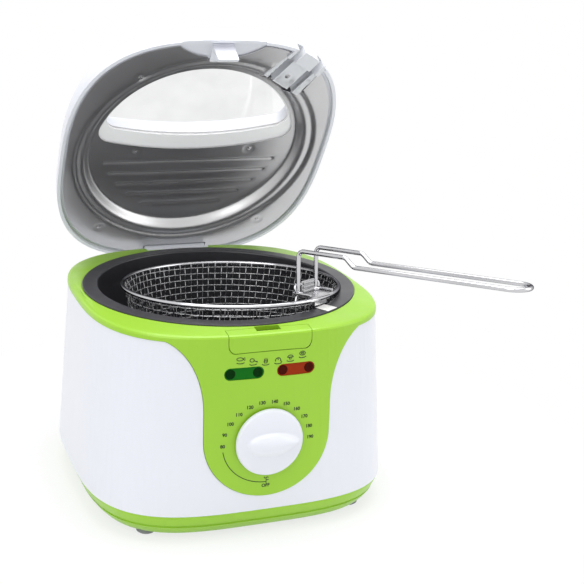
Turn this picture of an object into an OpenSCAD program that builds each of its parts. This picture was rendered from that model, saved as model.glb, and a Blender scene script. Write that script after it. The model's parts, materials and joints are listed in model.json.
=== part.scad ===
// Mini deep fryer with a hinged lid, a fixed bowl and a hanging wire basket.
// Millimetres, +Z up. The origin is on the bowl's axis, in the plane of the worktop.
// The front with the dial faces -Y and the lid's hinge is at the back, +Y.

/* [Body] */
// Height of the bowl's flange above the worktop
rim_z = 150; // [140:1:170]
// Room between the bowl's mouth and the body's side at the top
side_room = 16.25; // [16:0.25:20]
// How much deeper than wide the body's top is, for the latch and the hinge
deeper = 17; // [15:0.5:24]
// How much wider the white shell is at its foot
foot_wider = 14.5; // [8:0.5:20]
// How much deeper the white shell is at its foot
foot_deeper = 3.5; // [2:0.5:8]
// Squareness of the plan at the top, where 2 is an ellipse
top_square = 2.9; // [2.6:0.05:3.3]
// Squareness of the plan at the foot
foot_square = 3.35; // [2.8:0.05:3.8]
// How far the plan's centre lies behind the bowl's axis
plan_back = 1.5; // [0:0.1:2.5]
// Thickness of the plastic skins
skin = 2.4; // [1.8:0.1:2.8]
// How proud the lime moulding stands of the white shell
lime_proud = 0.5; // [0.2:0.1:0.9]
// Seam between two mouldings
seam = 0.3; // [0.2:0.05:0.5]

/* [Base] */
// Height of the white shell's lower edge
shell_foot_z = 21; // [18:0.5:24]
// Height of the rubber feet
foot_h = 3.6; // [3:0.1:5]
// Radius of a rubber foot
foot_r = 7; // [5:0.5:8]
// Distance of the feet's middles from the shell's sides
foot_in_x = 36.5; // [34:0.5:50]
// Distance of the feet's middles from the shell's front and back
foot_in_y = 32.5; // [32:0.5:48]

/* [Control panel] */
// Half width of the lime panel on the front
panel_half = 45; // [40:0.5:50]
// Height of the panel's lowest point
panel_low_z = 31.5; // [28:0.5:40]
// Height at which the panel's sides start to flare out
flare_z = 95; // [85:1:100]
// How far each side of the panel flares out at the top
flare_out = 32; // [20:1:36]
// Height of the dial's axis
dial_z = 71.4; // [66:0.2:76]
// Radius of the dial
dial_r = 23.5; // [20:0.5:26]
// Height of the lamp windows' middle
lamp_z = 121; // [117:0.5:124]
// Distance of each lamp window from the middle
lamp_x = 18.3; // [17:0.1:20]
// Length of a lamp window
lamp_l = 27.5; // [20:0.5:30]
// Height of a lamp window
lamp_h = 8.6; // [6:0.2:10]

/* [Bowl] */
// Width of the bowl's flange
flange_w = 11; // [9:0.5:12]
// Inner radius of the bowl at its mouth
bowl_r = 89; // [80:0.5:100]
// How much the bowl narrows toward its bottom corner
bowl_draft = 2.5; // [1:0.5:5]
// Depth of the bowl
bowl_depth = 98; // [92:1:102]
// Thickness of the bowl's wall
bowl_wall = 1.5; // [1:0.1:1.6]

/* [Lid] */
// Angle that the sprung lid opens to
lid_open = 56; // [50:1:65]
// Distance of the hinge's axis inside the body's back edge
hinge_in = 5.65; // [5.3:0.05:7]
// Depth of the hinge's axis below the bowl's flange
hinge_drop = 16.6; // [15:0.1:18]
// Half width of the lid's hinge knuckles
hinge_half = 25.5; // [20:0.5:30]
// Height of the lid above its rim
dome_h = 32; // [30:1:36]
// How far the raised panel in the lid's liner stays inside the bowl's mouth
panel_in = 6.5; // [5:0.5:9]
// How far the step around it reaches over the flange
step_over = 5; // [3:0.5:7]
// Width of the liner between the panel's edge and the window
window_land = 3.5; // [3:0.5:10]
// Thickness of the lid's steel liner
liner_t = 0.8; // [0.6:0.1:1.2]

/* [Basket] */
// Distance between the bowl's wall and the middle of the basket's rim wire
basket_in = 9.5; // [9:0.5:13]
// Thickness of the basket's rim wire
rim_wire = 3; // [2.4:0.2:3.4]
// Depth of the basket
basket_depth = 50; // [40:1:52]
// How much the basket leans when it hangs on the flange
basket_lean = 4.75; // [3:0.25:5]
// Direction of the handle in plan
handle_turn = -57; // [-62:1:-52]
// Thickness of the handle's wire
handle_wire_d = 3.2; // [2.6:0.2:3.6]
// Distance between the handle's two wires
handle_gap = 21.5; // [18:0.5:23]
// Height of the handle's upright legs
handle_rise = 29; // [26:0.5:30]
// Length of the handle from its legs to its end
handle_l = 169; // [140:1:190]

/* [Hidden] */
lime = [0.66, 0.84, 0.24];
white = [0.93, 0.94, 0.97];
steel = [0.62, 0.63, 0.65];
segs = 96;
$fn = 96;

// Plan sizes that follow from the bowl
bowl_low_r = bowl_r - bowl_draft;
flange_r = bowl_r + flange_w;
top_w = 2 * (bowl_r + side_room);
top_d = top_w + deeper;
foot_w = top_w + foot_wider;
foot_d = top_d + foot_deeper;
foot_x = foot_w / 2 - foot_in_x;
foot_y = foot_d / 2 - foot_in_y;
hinge_y = plan_back + top_d / 2 - hinge_in;
panel_r = bowl_r - panel_in;
step_r = bowl_r + step_over;
window_r = panel_r - window_land;
basket_r = bowl_r - basket_in;
shield_r = bowl_low_r + 7.5;
plate_r = bowl_low_r - 16.5;
element_at = plate_r - 10;
element_gap = 7.6;
element_leg_x = element_at * sin(element_gap);
element_leg_y = -element_at * cos(element_gap);

// Heights that the parts share
edge_z = rim_z - 3;
band_z = rim_z - 6.7;
hinge_z = rim_z - hinge_drop;
lid_rim_z = rim_z - 1.6;
liner_z = rim_z + 1;
land_z = rim_z + 3;
raised_z = rim_z + 11;
flange_t = 1.5;
ledge_z = rim_z - flange_t;
bowl_low_z = rim_z - bowl_depth;
bowl_under_z = bowl_low_z - bowl_wall;
tray_floor_z = foot_h + 2.6;
front_y = plan_back - top_d / 2;

function mix(a, b, t) = a + (b - a) * t;

// One point of a squared ellipse with half axes a and b
function squared(a, b, n, t) = [
    a * sign(cos(t)) * pow(abs(cos(t)), 2 / n),
    b * sign(sin(t)) * pow(abs(sin(t)), 2 / n)
];

// A ring is [half width, half depth, squareness, height, middle in y]
function ring_points(r) = [
    for (i = [0 : segs - 1])
        let (p = squared(r[0], r[1], r[2], 360 * i / segs)) [p.x, p.y + r[4], r[3]]
];

function outline(r) = [for (p = ring_points(r)) [p.x, p.y]];

// The body's plan at a height, moved out by grow
function body_ring(z, grow) =
    let (t = (z - shell_foot_z) / (edge_z - shell_foot_z))
    [mix(foot_w, top_w, t) / 2 + grow, mix(foot_d, top_d, t) / 2 + grow,
        mix(foot_square, top_square, t), z, mix(0.5, plan_back, t)];

function at_height(r, z) = [r[0], r[1], r[2], z, r[4]];

// The lid's plan, moved in by inset
function lid_ring(inset, z) =
    [top_w / 2 - inset, top_d / 2 - inset, top_square - 0.08, z, plan_back];

// Side walls and end caps between rows of n points, for a polyhedron
function skin_faces(rows, n) = concat(
    [[for (i = [0 : n - 1]) i]],
    [[for (i = [n - 1 : -1 : 0]) (rows - 1) * n + i]],
    [for (j = [0 : rows - 2]) for (i = [0 : n - 1])
        [j * n + i, (j + 1) * n + i, (j + 1) * n + (i + 1) % n]],
    [for (j = [0 : rows - 2]) for (i = [0 : n - 1])
        [j * n + i, (j + 1) * n + (i + 1) % n, j * n + (i + 1) % n]]
);

module loft(rings) {
    polyhedron(points = [for (r = rings) each ring_points(r)],
        faces = skin_faces(len(rings), segs), convexity = 6);
}

// A round wire swept along a path of points
function unit(v) = v / norm(v);
function path_dir(p, i) = unit(p[min(i + 1, len(p) - 1)] - p[max(i - 1, 0)]);
function side_of(d, up) = unit(cross(d, up));
function wire_points(p, r, n, up) = [
    for (i = [0 : len(p) - 1]) let (d = path_dir(p, i), u = side_of(d, up), v = cross(d, u))
        for (k = [0 : n - 1]) p[i] + r * (cos(360 * k / n) * u + sin(360 * k / n) * v)
];
module wire(p, d, up = [0, 0, 1], n = 10) {
    polyhedron(points = wire_points(p, d / 2, n, up), faces = skin_faces(len(p), n),
        convexity = 8);
}

// Puts the lid's parts, drawn closed, in the open place where the lid rests
module opened() {
    translate([0, hinge_y, hinge_z]) rotate([-lid_open, 0, 0])
        translate([0, -hinge_y, -hinge_z]) children();
}

// A cylinder whose axis runs along Y from y0 to y1
module rod_y(r, y0, y1, x = 0, z = 0) {
    translate([x, y0, z]) rotate([-90, 0, 0]) cylinder(r = r, h = y1 - y0);
}

// A cylinder whose axis runs along X from x0 to x1
module rod_x(r, x0, x1, y, z) {
    translate([x0, y, z]) rotate([0, 90, 0]) cylinder(r = r, h = x1 - x0);
}

module box(lo, hi) { translate(lo) cube(hi - lo); }

// The control panel's outline, x across and z up
flare_rise = edge_z - 2 - flare_z;
bow_z = 74;
function panel_side(t) = [panel_half + flare_out * (1 - sqrt(1 - t * t)), flare_z + flare_rise * t];
function panel_outline() = let (
    up = [for (i = [0 : 14]) panel_side(sin(90 * i / 14))],
    bow = [for (i = [0 : 24]) let (a = -90 + 90 * i / 24)
        [panel_half * cos(a), bow_z + (bow_z - panel_low_z) * sin(a)]],
    right = concat(bow, up)
) concat(right, [for (i = [len(right) - 1 : -1 : 1]) [-right[i].x, right[i].y]]);

// The prism that the control panel fills, from the front to the bowl's axis
module panel_prism(grow) {
    rotate([90, 0, 0]) linear_extrude(height = top_d) offset(delta = grow)
        polygon(panel_outline());
}

// The latch: a bent panel that turns on two pins near its rear edge
latch_half = 29;
latch_low_z = rim_z - 15;
latch_back_y = front_y + 8.95;
latch_pin_r = 1.2;
latch_pin_y = front_y + 7.85;
latch_pin_z = rim_z - 4.6;
latch_slope = 40;
latch_gap = 0.4;
module latch_prism(grow) {
    low = front_y * sin(latch_slope) + latch_low_z * cos(latch_slope) - grow;
    h = latch_half + grow;
    r = 5;
    intersection() {
        rotate([-latch_slope, 0, 0]) rotate([90, 0, 0]) translate([0, 0, 60])
            linear_extrude(height = 160) polygon(concat(
                corner(-h + r, low + r, r, 180, 270), corner(h - r, low + r, r, 270, 360),
                [[h, low + 60], [-h, low + 60]]));
        box([-60, front_y - 28, rim_z - 50], [60, latch_back_y + grow, rim_z + 20]);
    }
}

// The slot over the latch that the lid's catch drops into
slot_half = 8.6;
slot_front_y = front_y + 4.65;
slot_back_y = front_y + 11.05;
module catch_slot() {
    box([-slot_half, slot_front_y, rim_z - 20], [slot_half, slot_back_y, rim_z + 1]);
}

// Top moulding before the openings are cut: a rim with a shallow crowned top
module bezel_solid() {
    loft([body_ring(band_z, lime_proud), body_ring(edge_z - 1.2, lime_proud),
        body_ring(edge_z - 0.2, lime_proud - 0.5), body_ring(edge_z + 0.5, -1.2),
        body_ring(edge_z + 0.8, -2.6),
        [flange_r + 1.2, flange_r + 1.2, 2, rim_z - 1, 0]]);
}

// Room under the crown for the pieces that stand up against it
module under_crown() {
    box([-60, -130, 0], [60, 130, edge_z - 3.2]);
    translate([0, 0, -0.02]) bezel_inside();
}

module bezel_inside() {
    loft([at_height(body_ring(band_z, lime_proud - skin), band_z - 1),
        body_ring(band_z, lime_proud - skin), body_ring(edge_z - 2.8, lime_proud - skin),
        [flange_r + 1.2, flange_r + 1.2, 2, rim_z - 1 - skin, 0]]);
}

// The skin that covers the front between two depths under the lime surface
module front_skin(out, deep) {
    difference() {
        loft([body_ring(panel_low_z - 4, out), body_ring(band_z, out)]);
        loft([at_height(body_ring(panel_low_z - 4, deep), panel_low_z - 5),
            body_ring(panel_low_z - 4, deep), body_ring(band_z, deep),
            at_height(body_ring(band_z, deep), band_z + 1)]);
    }
}

module lamp_window(grow, x) {
    r = lamp_h / 2 + grow;
    translate([x, 0, lamp_z]) rotate([90, 0, 0]) linear_extrude(height = top_d) union() {
        square([lamp_l - lamp_h, 2 * r], center = true);
        for (s = [-1, 1]) translate([s * (lamp_l - lamp_h) / 2, 0]) circle(r = r);
    }
}

// The opening at the back that the lid's knuckles turn in
barrel_r = 5.5;
well_half = hinge_half + 1.7;
well_front_y = hinge_y - barrel_r - 0.8;
well_low_z = hinge_z - barrel_r - 1;
module hinge_opening() {
    box([-well_half, well_front_y, well_low_z], [well_half, top_d, rim_z + 5]);
}

gland_r = 6;
gland_z = 38;
gland_y = body_ring(gland_z, 0)[1] + body_ring(gland_z, 0)[4];
neck_r = 4.5;
bore_r = bowl_r + bowl_wall + 1.2;
post_r = 4;
post_x = (shield_r + post_r + 2.45) * cos(46.61);
post_y = (shield_r + post_r + 2.45) * sin(46.61);

module body_shell() {
    color(white) difference() {
        union() {
            loft([body_ring(shell_foot_z, 0), body_ring(band_z - seam, 0)]);
            loft([body_ring(band_z - 2, -1), body_ring(band_z, -1)]);
        }
        loft([body_ring(shell_foot_z - 1, -skin), body_ring(band_z + 1, -skin)]);
        panel_prism(seam);
        hinge_opening();
        rod_y(gland_r + 0.1, 0, top_d, 0, gland_z);
    }
}

module top_bezel() {
    color(lime) difference() {
        union() {
            difference() {
                union() {
                    difference() {
                        bezel_solid();
                        bezel_inside();
                    }
                    // ledge that carries the bowl's flange
                    difference() {
                        translate([0, 0, ledge_z - skin]) cylinder(r = flange_r + 2.4, h = skin);
                        translate([0, 0, ledge_z - skin - 1]) cylinder(r = bore_r, h = skin + 2);
                    }
                    intersection() {
                        front_skin(lime_proud, lime_proud - skin);
                        panel_prism(0);
                    }
                }
                latch_prism(latch_gap);
                for (x = [-lamp_x, lamp_x]) lamp_window(0, x);
            }
            // ears that hold the latch's pins
            for (s = [-1, 1]) translate([s * (latch_half + 2.4), 0, 0])
                box([-1.9, latch_pin_y - 2.6, latch_pin_z - 3],
                    [1.9, latch_pin_y + 2.6, edge_z - 0.6]);
        }
        translate([0, 0, ledge_z]) cylinder(r = flange_r + 0.4, h = 10);
        translate([0, 0, ledge_z - skin - 4]) cylinder(r = bore_r, h = 20);
        catch_slot();
        hinge_opening();
        rod_x(latch_pin_r + 0.08, -latch_half - 3.4, latch_half + 3.4, latch_pin_y,
            latch_pin_z);
        rod_y(neck_r + 0.1, -top_d, 0, 0, dial_z);
    }
}

// The base tray's outside: [height, how far in from the white shell's foot]
tray_steps = [[foot_h, 12], [foot_h + 0.9, 10], [7.4, 7.2], [10.8, 4.6], [11.3, 5.3],
    [12.1, 5.3], [12.7, 4], [16.6, 2], [18.8, 0.9], [shell_foot_z - seam, 0.5]];
function tray_ring(z, inset) = [foot_w / 2 - inset, foot_d / 2 - inset * 0.95,
    foot_square + 0.3 * inset / 12, z, 0.5];

module base_tray() {
    color(lime) difference() {
        union() {
            loft([for (s = tray_steps) tray_ring(s[0], s[1])]);
            loft([tray_ring(shell_foot_z - 2, 1.4), tray_ring(shell_foot_z, 1.2)]);
        }
        loft([tray_ring(tray_floor_z, 12.8), tray_ring(12, 8.2),
            tray_ring(shell_foot_z + 1, 3.2)]);
        // cooling slots in the floor
        for (x = [-30 : 12 : 30]) for (y = [-42, 42])
            box([x - 2, y - 14, 0], [x + 2, y + 14, tray_floor_z + 1]);
        for (x = [-foot_x, foot_x]) for (y = [-foot_y, foot_y]) translate([x, y, 0])
            cylinder(r = 2.5, h = 20);
        for (x = [-post_x, post_x]) for (y = [-post_y, post_y]) translate([x, y, 0]) {
            cylinder(r = 1.7, h = 20);
            cylinder(r = 4.2, h = foot_h + 0.8);
        }
    }
}

module rubber_feet() {
    color([0.45, 0.45, 0.47]) for (x = [-foot_x, foot_x]) for (y = [-foot_y, foot_y])
        translate([x, y, 0]) {
            rotate_extrude() polygon([[0, 0], [foot_r - 1.2, 0], [foot_r, 1], [foot_r, foot_h],
                [2.4, foot_h], [2.4, tray_floor_z], [4, tray_floor_z],
                [3.2, tray_floor_z + 2], [0, tray_floor_z + 2]]);
        }
}

module base_screws() {
    color(steel) for (x = [-post_x, post_x]) for (y = [-post_y, post_y])
        translate([x, y, foot_h - 1.4]) difference() {
            union() {
                cylinder(r = 3.6, h = 2.2);
                cylinder(r = 1.6, h = 16);
            }
            for (a = [0, 90]) rotate([0, 0, a])
                translate([-1.9, -0.45, -1]) cube([3.8, 0.9, 1.9]);
        }
}

// Posts that tie the tray to the underside of the top moulding
module tie_posts() {
    color([0.75, 0.76, 0.78]) for (x = [-post_x, post_x]) for (y = [-post_y, post_y])
        translate([x, y, tray_floor_z]) difference() {
            cylinder(r = post_r, h = ledge_z - skin - tray_floor_z);
            translate([0, 0, -1]) cylinder(r = 1.6, h = 18);
        }
}

function corner(cx, cz, r, a0, a1) = [for (i = [0 : 6]) let (a = a0 + (a1 - a0) * i / 6)
    [cx + r * cos(a), cz + r * sin(a)]];

module fryer_bowl() {
    in = 12;
    color([0.17, 0.17, 0.18]) rotate_extrude($fn = 120) polygon(concat(
        [[0, bowl_under_z], [bowl_low_r + bowl_wall - in - 1.5, bowl_under_z]],
        corner(bowl_low_r - in, bowl_low_z + in, in + bowl_wall, -80, 0),
        [[bowl_low_r + bowl_wall + 0.1, bowl_low_z + 50], [bowl_r + bowl_wall, rim_z - 14],
            [bowl_r + bowl_wall, rim_z - flange_t], [flange_r, rim_z - flange_t],
            [flange_r, rim_z - 0.4], [flange_r - 0.4, rim_z], [bowl_r + 1, rim_z],
            [bowl_r + 0.3, rim_z - 0.3], [bowl_r, rim_z - 1], [bowl_r, rim_z - 14],
            [bowl_low_r + 0.1, bowl_low_z + 50]],
        corner(bowl_low_r - in, bowl_low_z + in, in, 0, -90),
        [[0, bowl_low_z]]));
}

// The strip on the flange that the hanging basket's lip stands over
module drain_rest() {
    color(steel) along_handle() translate([0, -1.6, 0]) difference() {
        box([bowl_r - 7, -7.2, rim_z], [flange_r + 1, 7.2, rim_z + 0.8]);
        translate([0, 1.6 - handle_side, -1]) cylinder(r = bowl_r + 1.2, h = 200);
    }
}

shield_low_z = 24;
module heat_shield() {
    color([0.72, 0.73, 0.74]) difference() {
        rotate_extrude() polygon([[3.2, shield_low_z], [shield_r + 0.8, shield_low_z],
            [shield_r + 0.8, rim_z - 12], [shield_r, rim_z - 12],
            [shield_r, shield_low_z + 0.8], [3.2, shield_low_z + 0.8]]);
        rod_y(2, -shield_r - 6, 9 - shield_r, probe_x, dial_z + 8);
        for (s = [-1, 1]) translate([s * element_leg_x, element_leg_y, 0]) cylinder(r = 5.2, h = 40);
    }
}
probe_x = 12;

plate_low_z = bowl_under_z - 4.5;
module heater_plate() {
    color([0.78, 0.79, 0.8]) translate([0, 0, plate_low_z]) cylinder(r = plate_r, h = 4.5);
}

element_r = 3.25;
module heating_element() {
    z = plate_low_z - element_r;
    color([0.36, 0.33, 0.3]) {
        translate([0, 0, z]) rotate([0, 0, -90 + element_gap]) rotate_extrude(angle = 360 - 2 * element_gap)
            translate([element_at, 0]) circle(r = element_r);
        for (s = [-1, 1]) translate([s * element_leg_x, element_leg_y, z]) {
            sphere(r = element_r + 0.06);
            translate([0, 0, -24]) cylinder(r = element_r - 0.06, h = 24);
        }
    }
}

module element_insulators() {
    z = plate_low_z - element_r;
    color([0.9, 0.88, 0.83]) for (s = [-1, 1])
        translate([s * element_leg_x, element_leg_y, shield_low_z - 4]) difference() {
            union() {
                cylinder(r = 5, h = 12);
                cylinder(r = 6.4, h = 4);
            }
            translate([0, 0, -1]) cylinder(r = element_r - 0.06, h = 20);
        }
}

module element_clips() {
    color(steel) for (a = [30, 90, 150]) rotate([0, 0, a]) difference() {
        box([element_at - 8, -5, plate_low_z - 2 * element_r - 1],
            [element_at + 8, 5, plate_low_z]);
        rotate([0, 0, -10]) translate([0, 0, plate_low_z - element_r]) rotate_extrude(angle = 20)
            translate([element_at, 0]) circle(r = element_r);
    }
}

module centre_stud() {
    color(steel) translate([0, 0, shield_low_z - 8])
        cylinder(r = 3.2, h = plate_low_z - shield_low_z + 8);
}

module stud_nut() {
    color([0.8, 0.68, 0.35]) translate([0, 0, shield_low_z - 5]) difference() {
        cylinder(r = 7.5, h = 5, $fn = 6);
        translate([0, 0, -1]) cylinder(r = 3.2, h = 8);
    }
}

module thermal_cutout() {
    color([0.25, 0.22, 0.2]) translate([26, 14, plate_low_z - 11]) {
        cylinder(r = 8, h = 11);
        translate([0, 0, 8.5]) cylinder(r = 11, h = 2.5);
    }
}

stat_half = 18;
stat_ring = body_ring(dial_z + 17, lime_proud - skin);
stat_front_y = stat_ring[4] + 0.1
    - stat_ring[1] * pow(1 - pow(stat_half / stat_ring[0], stat_ring[2]), 1 / stat_ring[2]);
panel_front_y = body_ring(dial_z, lime_proud)[4] - body_ring(dial_z, lime_proud)[1];
stat_back_y = -shield_r - 2.2;
stat_neck_y = panel_front_y - 3.3;
module thermostat() {
    color([0.28, 0.27, 0.26]) difference() {
        union() {
            box([-stat_half, stat_front_y, dial_z - 17], [stat_half, stat_back_y, dial_z + 17]);
            rod_y(neck_r, stat_neck_y, stat_front_y + 1, 0, dial_z);
        }
        rod_y(shaft_r + 0.06, stat_neck_y - 1, stat_back_y - 2, 0, dial_z);
    }
}

module thermostat_probe() {
    r = 2.3;
    y = -sqrt(pow(bowl_low_r + bowl_wall + r + 0.5, 2) - probe_x * probe_x);
    color([0.7, 0.45, 0.3]) {
        translate([probe_x, y, dial_z - 12]) cylinder(r = r, h = 34);
        rod_y(1.1, stat_back_y, y, probe_x, dial_z + 8);
    }
}

block_y = shield_r - 10;
module terminal_block() {
    color([0.86, 0.85, 0.8]) difference() {
        box([-20, block_y - 8, tray_floor_z], [20, block_y + 8, tray_floor_z + 12]);
        for (x = [-13, 0, 13]) translate([x, block_y, tray_floor_z + 4])
            cylinder(r = 2.6, h = 20);
    }
}

module lens(x) {
    intersection() {
        lamp_window(-0.1, x);
        front_skin(lime_proud - 0.5, lime_proud - skin - 0.5);
    }
    intersection() {
        lamp_window(1.6, x);
        front_skin(lime_proud - skin, lime_proud - skin - 1.6);
    }
}
module green_lens() { color([0.08, 0.3, 0.12]) lens(-lamp_x); }
module red_lens() { color([0.42, 0.1, 0.06]) lens(lamp_x); }

lamp_y = front_y - lime_proud + skin + 0.9;
module neon_lamps() {
    color([0.9, 0.75, 0.55]) for (x = [-lamp_x, lamp_x]) {
        rod_y(3.6, lamp_y + 1, lamp_y + 14, x, lamp_z);
        rod_y(5, lamp_y + 11, lamp_y + 14, x, lamp_z);
    }
}

module cord_gland() {
    color([0.2, 0.2, 0.21]) translate([0, gland_y, gland_z]) rotate([-90, 0, 0]) difference() {
        union() {
            translate([0, 0, 0.1]) cylinder(r = 9, h = 3);
            translate([0, 0, -skin - 3]) cylinder(r = gland_r, h = skin + 5);
            translate([0, 0, -skin - 3.4]) cylinder(r = 8.2, h = 3);
        }
        translate([0, 0, -10]) cylinder(r = 3.6, h = 20);
    }
}

// Pocket behind the bowl that the lid's knuckles turn in
module hinge_well() {
    wall = 2;
    back_y = gland_y - 4.4;
    color([0.9, 0.91, 0.93]) difference() {
        intersection() {
            box([-well_half - wall, well_front_y - wall, well_low_z - wall],
                [well_half + wall, back_y, ledge_z - skin]);
            under_crown();
        }
        box([-well_half, well_front_y, well_low_z], [well_half, back_y + 10, rim_z + 5]);
        rod_x(pin_r, -well_half - 10, well_half + 10, hinge_y, hinge_z);
    }
}

pin_r = 1.6;
module hinge_pin() {
    color(steel) rod_x(pin_r, -well_half - 2.6, well_half + 2.6, hinge_y, hinge_z);
}

coil_half = 12;
module lid_spring() {
    turns = 8;
    pts = concat(
        [[-coil_half, hinge_y + 2.75, well_low_z + 0.9]],
        [for (i = [0 : 12 * turns]) let (a = 30 * i) [-coil_half + 2 * coil_half * i / (12 * turns),
            hinge_y + 2.75 * cos(a), hinge_z + 2.75 * sin(a)]],
        [[coil_half, hinge_y + 2.75, hinge_z - 1.5], [coil_half, hinge_y + 2.75, well_low_z + 0.9]]);
    color(steel) wire(pts, 1.7, [1, 0, 0.01], 6);
}

// A leaf that pushes the latch back out
module latch_spring() {
    color(steel) intersection() {
        box([-26, front_y + 9.35, latch_low_z - 1], [-20, front_y + 9.85, ledge_z - skin]);
        under_crown();
    }
}

// Lid, drawn closed: [how far in, height] of the dome's outside
dome_top = lid_rim_z + dome_h;
dome_steps = [[0, 0], [0, 0.12], [0.5, 0.25], [1.7, 0.4], [4, 0.55], [8, 0.69], [14, 0.8],
    [24, 0.89], [40, 0.955], [64, 0.99], [92, 1]];
function dome_ring(s, in, drop) = lid_ring(s[0] + in, lid_rim_z + s[1] * dome_h - drop);

// The window's outline grown by g: a circle closed by a shallow arc that reaches to edge_y
well_edge_y = 3;
glass_edge_y = -8.5;
module window_plan(g, edge_y) {
    offset(r = 11 + g) offset(delta = -11) intersection() {
        translate([0, 2]) circle(r = window_r);
        translate([0, edge_y - 260]) circle(r = 260, $fn = 240);
    }
}

module window_prism(g, z0, z1, edge_y = glass_edge_y) {
    translate([0, 0, z0]) linear_extrude(height = z1 - z0) window_plan(g, edge_y);
}

function around(r, a) = [r * cos(a), r * sin(a)];
lid_screw_at = [around(step_r + 1.35, -125.52), around(step_r + 1.35, -54.48),
    around(step_r + 8.04, 130.67), around(step_r + 8.04, 49.33)];
port_screw_up = 2.4;
panel_screw_at = [[-panel_r / 1.8, 5], [panel_r / 1.8, 5]];

// The handle's frame: x runs outward along the handle, y across it
handle_side = 4.4;
module along_handle() { rotate([0, 0, handle_turn]) translate([0, handle_side, 0]) children(); }

// The two channels that the handle's wires pass through when the lid is shut
channel_half = handle_wire_d / 2 + 1.4;
channel_mid = 0.9;
port_end = bowl_r + 51;
module channels(from) {
    along_handle() for (s = [-1, 1]) translate([0, channel_mid + s * handle_gap / 2, 0]) {
        box([from, -channel_half, rim_z - 10], [bowl_r + 19, channel_half, rim_z + 10.2]);
        box([from, -channel_half, rim_z - 10], [port_end, channel_half, rim_z + 6.2]);
    }
}

module port_plan(grow) {
    offset(delta = grow) translate([bowl_r, 0]) polygon([[-3, -16.4], [-3, 20.2], [23, 18.2],
        [37, 18.2], [37, -15.4], [18, -15.4]]);
}

// The insert's bulk: tall inside the dome, low where it comes through the lid's side
module port_body(grow, low) {
    along_handle() {
        intersection() {
            box([bowl_r - 5, -40, low], [bowl_r + 20 + grow, 40, rim_z + 12.4 + grow]);
            translate([0, 0, low - 1]) linear_extrude(height = 60) port_plan(grow);
        }
        intersection() {
            box([bowl_r + 11, -40, low], [port_end, 40, rim_z + 8.6 + grow]);
            translate([0, 0, low - 1]) linear_extrude(height = 60) port_plan(grow);
        }
    }
}

module lid_inside() {
    loft([lid_ring(skin, lid_rim_z - 1), for (s = dome_steps) dome_ring(s, skin, skin)]);
}

module lid_shell() {
    web = hinge_y - barrel_r;
    color(white) opened() difference() {
        union() {
            difference() {
                loft([for (s = dome_steps) dome_ring(s, 0, 0)]);
                lid_inside();
            }
            // bosses for the screws and the shelf that carries the steel liner
            intersection() {
                loft([for (s = dome_steps) dome_ring(s, 0.5, 0.5)]);
                union() {
                    difference() {
                        for (i = [0 : 3]) translate([lid_screw_at[i].x, lid_screw_at[i].y,
                            liner_z + (i == 1 ? 4 : liner_t)]) cylinder(r = 4.4, h = 60);
                        translate([0, 0, liner_z])
                            cylinder(r = step_r + 0.2, h = land_z + liner_t + 0.1 - liner_z);
                    }
                    for (p = panel_screw_at) translate([p.x, p.y, raised_z + liner_t])
                        cylinder(r = 4.4, h = 60);
                    // web behind the dip in the liner's front edge
                    difference() {
                        box([-34, front_y, liner_z + liner_t],
                            [34, catch_in_y, liner_z + liner_t + 2]);
                        translate([0, 0, liner_z]) cylinder(r = step_r + 0.4, h = 10);
                        box([-7.7, catch_in_y - 4.1, liner_z], [7.7, 0, liner_z + 10]);
                    }
                    difference() {
                        loft([lid_ring(1, liner_z + liner_t), lid_ring(1, liner_z + liner_t + 2)]);
                        loft([lid_ring(6.6, liner_z), lid_ring(6.6, liner_z + liner_t + 3)]);
                    }
                }
            }
            // knuckles and the bar that joins them
            for (s = [-1, 1]) translate([s * (hinge_half + coil_half + 1) / 2, 0, 0]) {
                w = (hinge_half - coil_half - 1) / 2;
                rod_x(barrel_r, -w, w, hinge_y, hinge_z);
                box([-w, web, hinge_z], [w, web + 2 * barrel_r, lid_rim_z + 6]);
            }
            box([-hinge_half, web, hinge_z + barrel_r + 1.4],
                [hinge_half, web + 2 * barrel_r, lid_rim_z + 6]);
        }
        window_prism(2.9, raised_z + liner_t, glass_z + 3.4, well_edge_y);
        window_prism(2.9, glass_z, dome_top + 1);
        difference() {
            port_body(0.15, lid_rim_z - 5);
            translate([lid_screw_at[1].x, lid_screw_at[1].y, liner_z + 4])
                cylinder(r = 4.4, h = 60);
        }
        rod_x(pin_r + 0.06, -hinge_half - 1, hinge_half + 1, hinge_y, hinge_z);
        // scallop that clears the latch
        box([-latch_half - 2, front_y - 18, lid_rim_z - 1],
            [latch_half + 2, front_y + 6.25, lid_rim_z + 0.9]);
        for (p = lid_screw_at) translate([p.x, p.y, liner_z]) cylinder(r = 1.3, h = 9);
        for (p = panel_screw_at) translate([p.x, p.y, raised_z]) cylinder(r = 1.3, h = 7);
        box([-7.7, front_y - 4, liner_z - 5], [7.7, front_y + 9.25, lid_rim_z + 0.01]);
    }
}

liner_in = 5;
dip = [for (p = [[31.5, -20], [31.5, 6.65], [28, 9.35], [23, 12.05], [17, 14.65], [12, 15.85]])
    [p.x, front_y + p.y]];
module liner_plan() {
    difference() {
        polygon(outline(lid_ring(liner_in, 0)));
        // dip in the front edge over the latch
        polygon(concat(dip, [for (i = [len(dip) - 1 : -1 : 0]) [-dip[i].x, dip[i].y]]));
        // knuckles at the back
        translate([0, hinge_y]) square([2 * hinge_half + 2, 2 * barrel_r + 2.6], center = true);
    }
}

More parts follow.
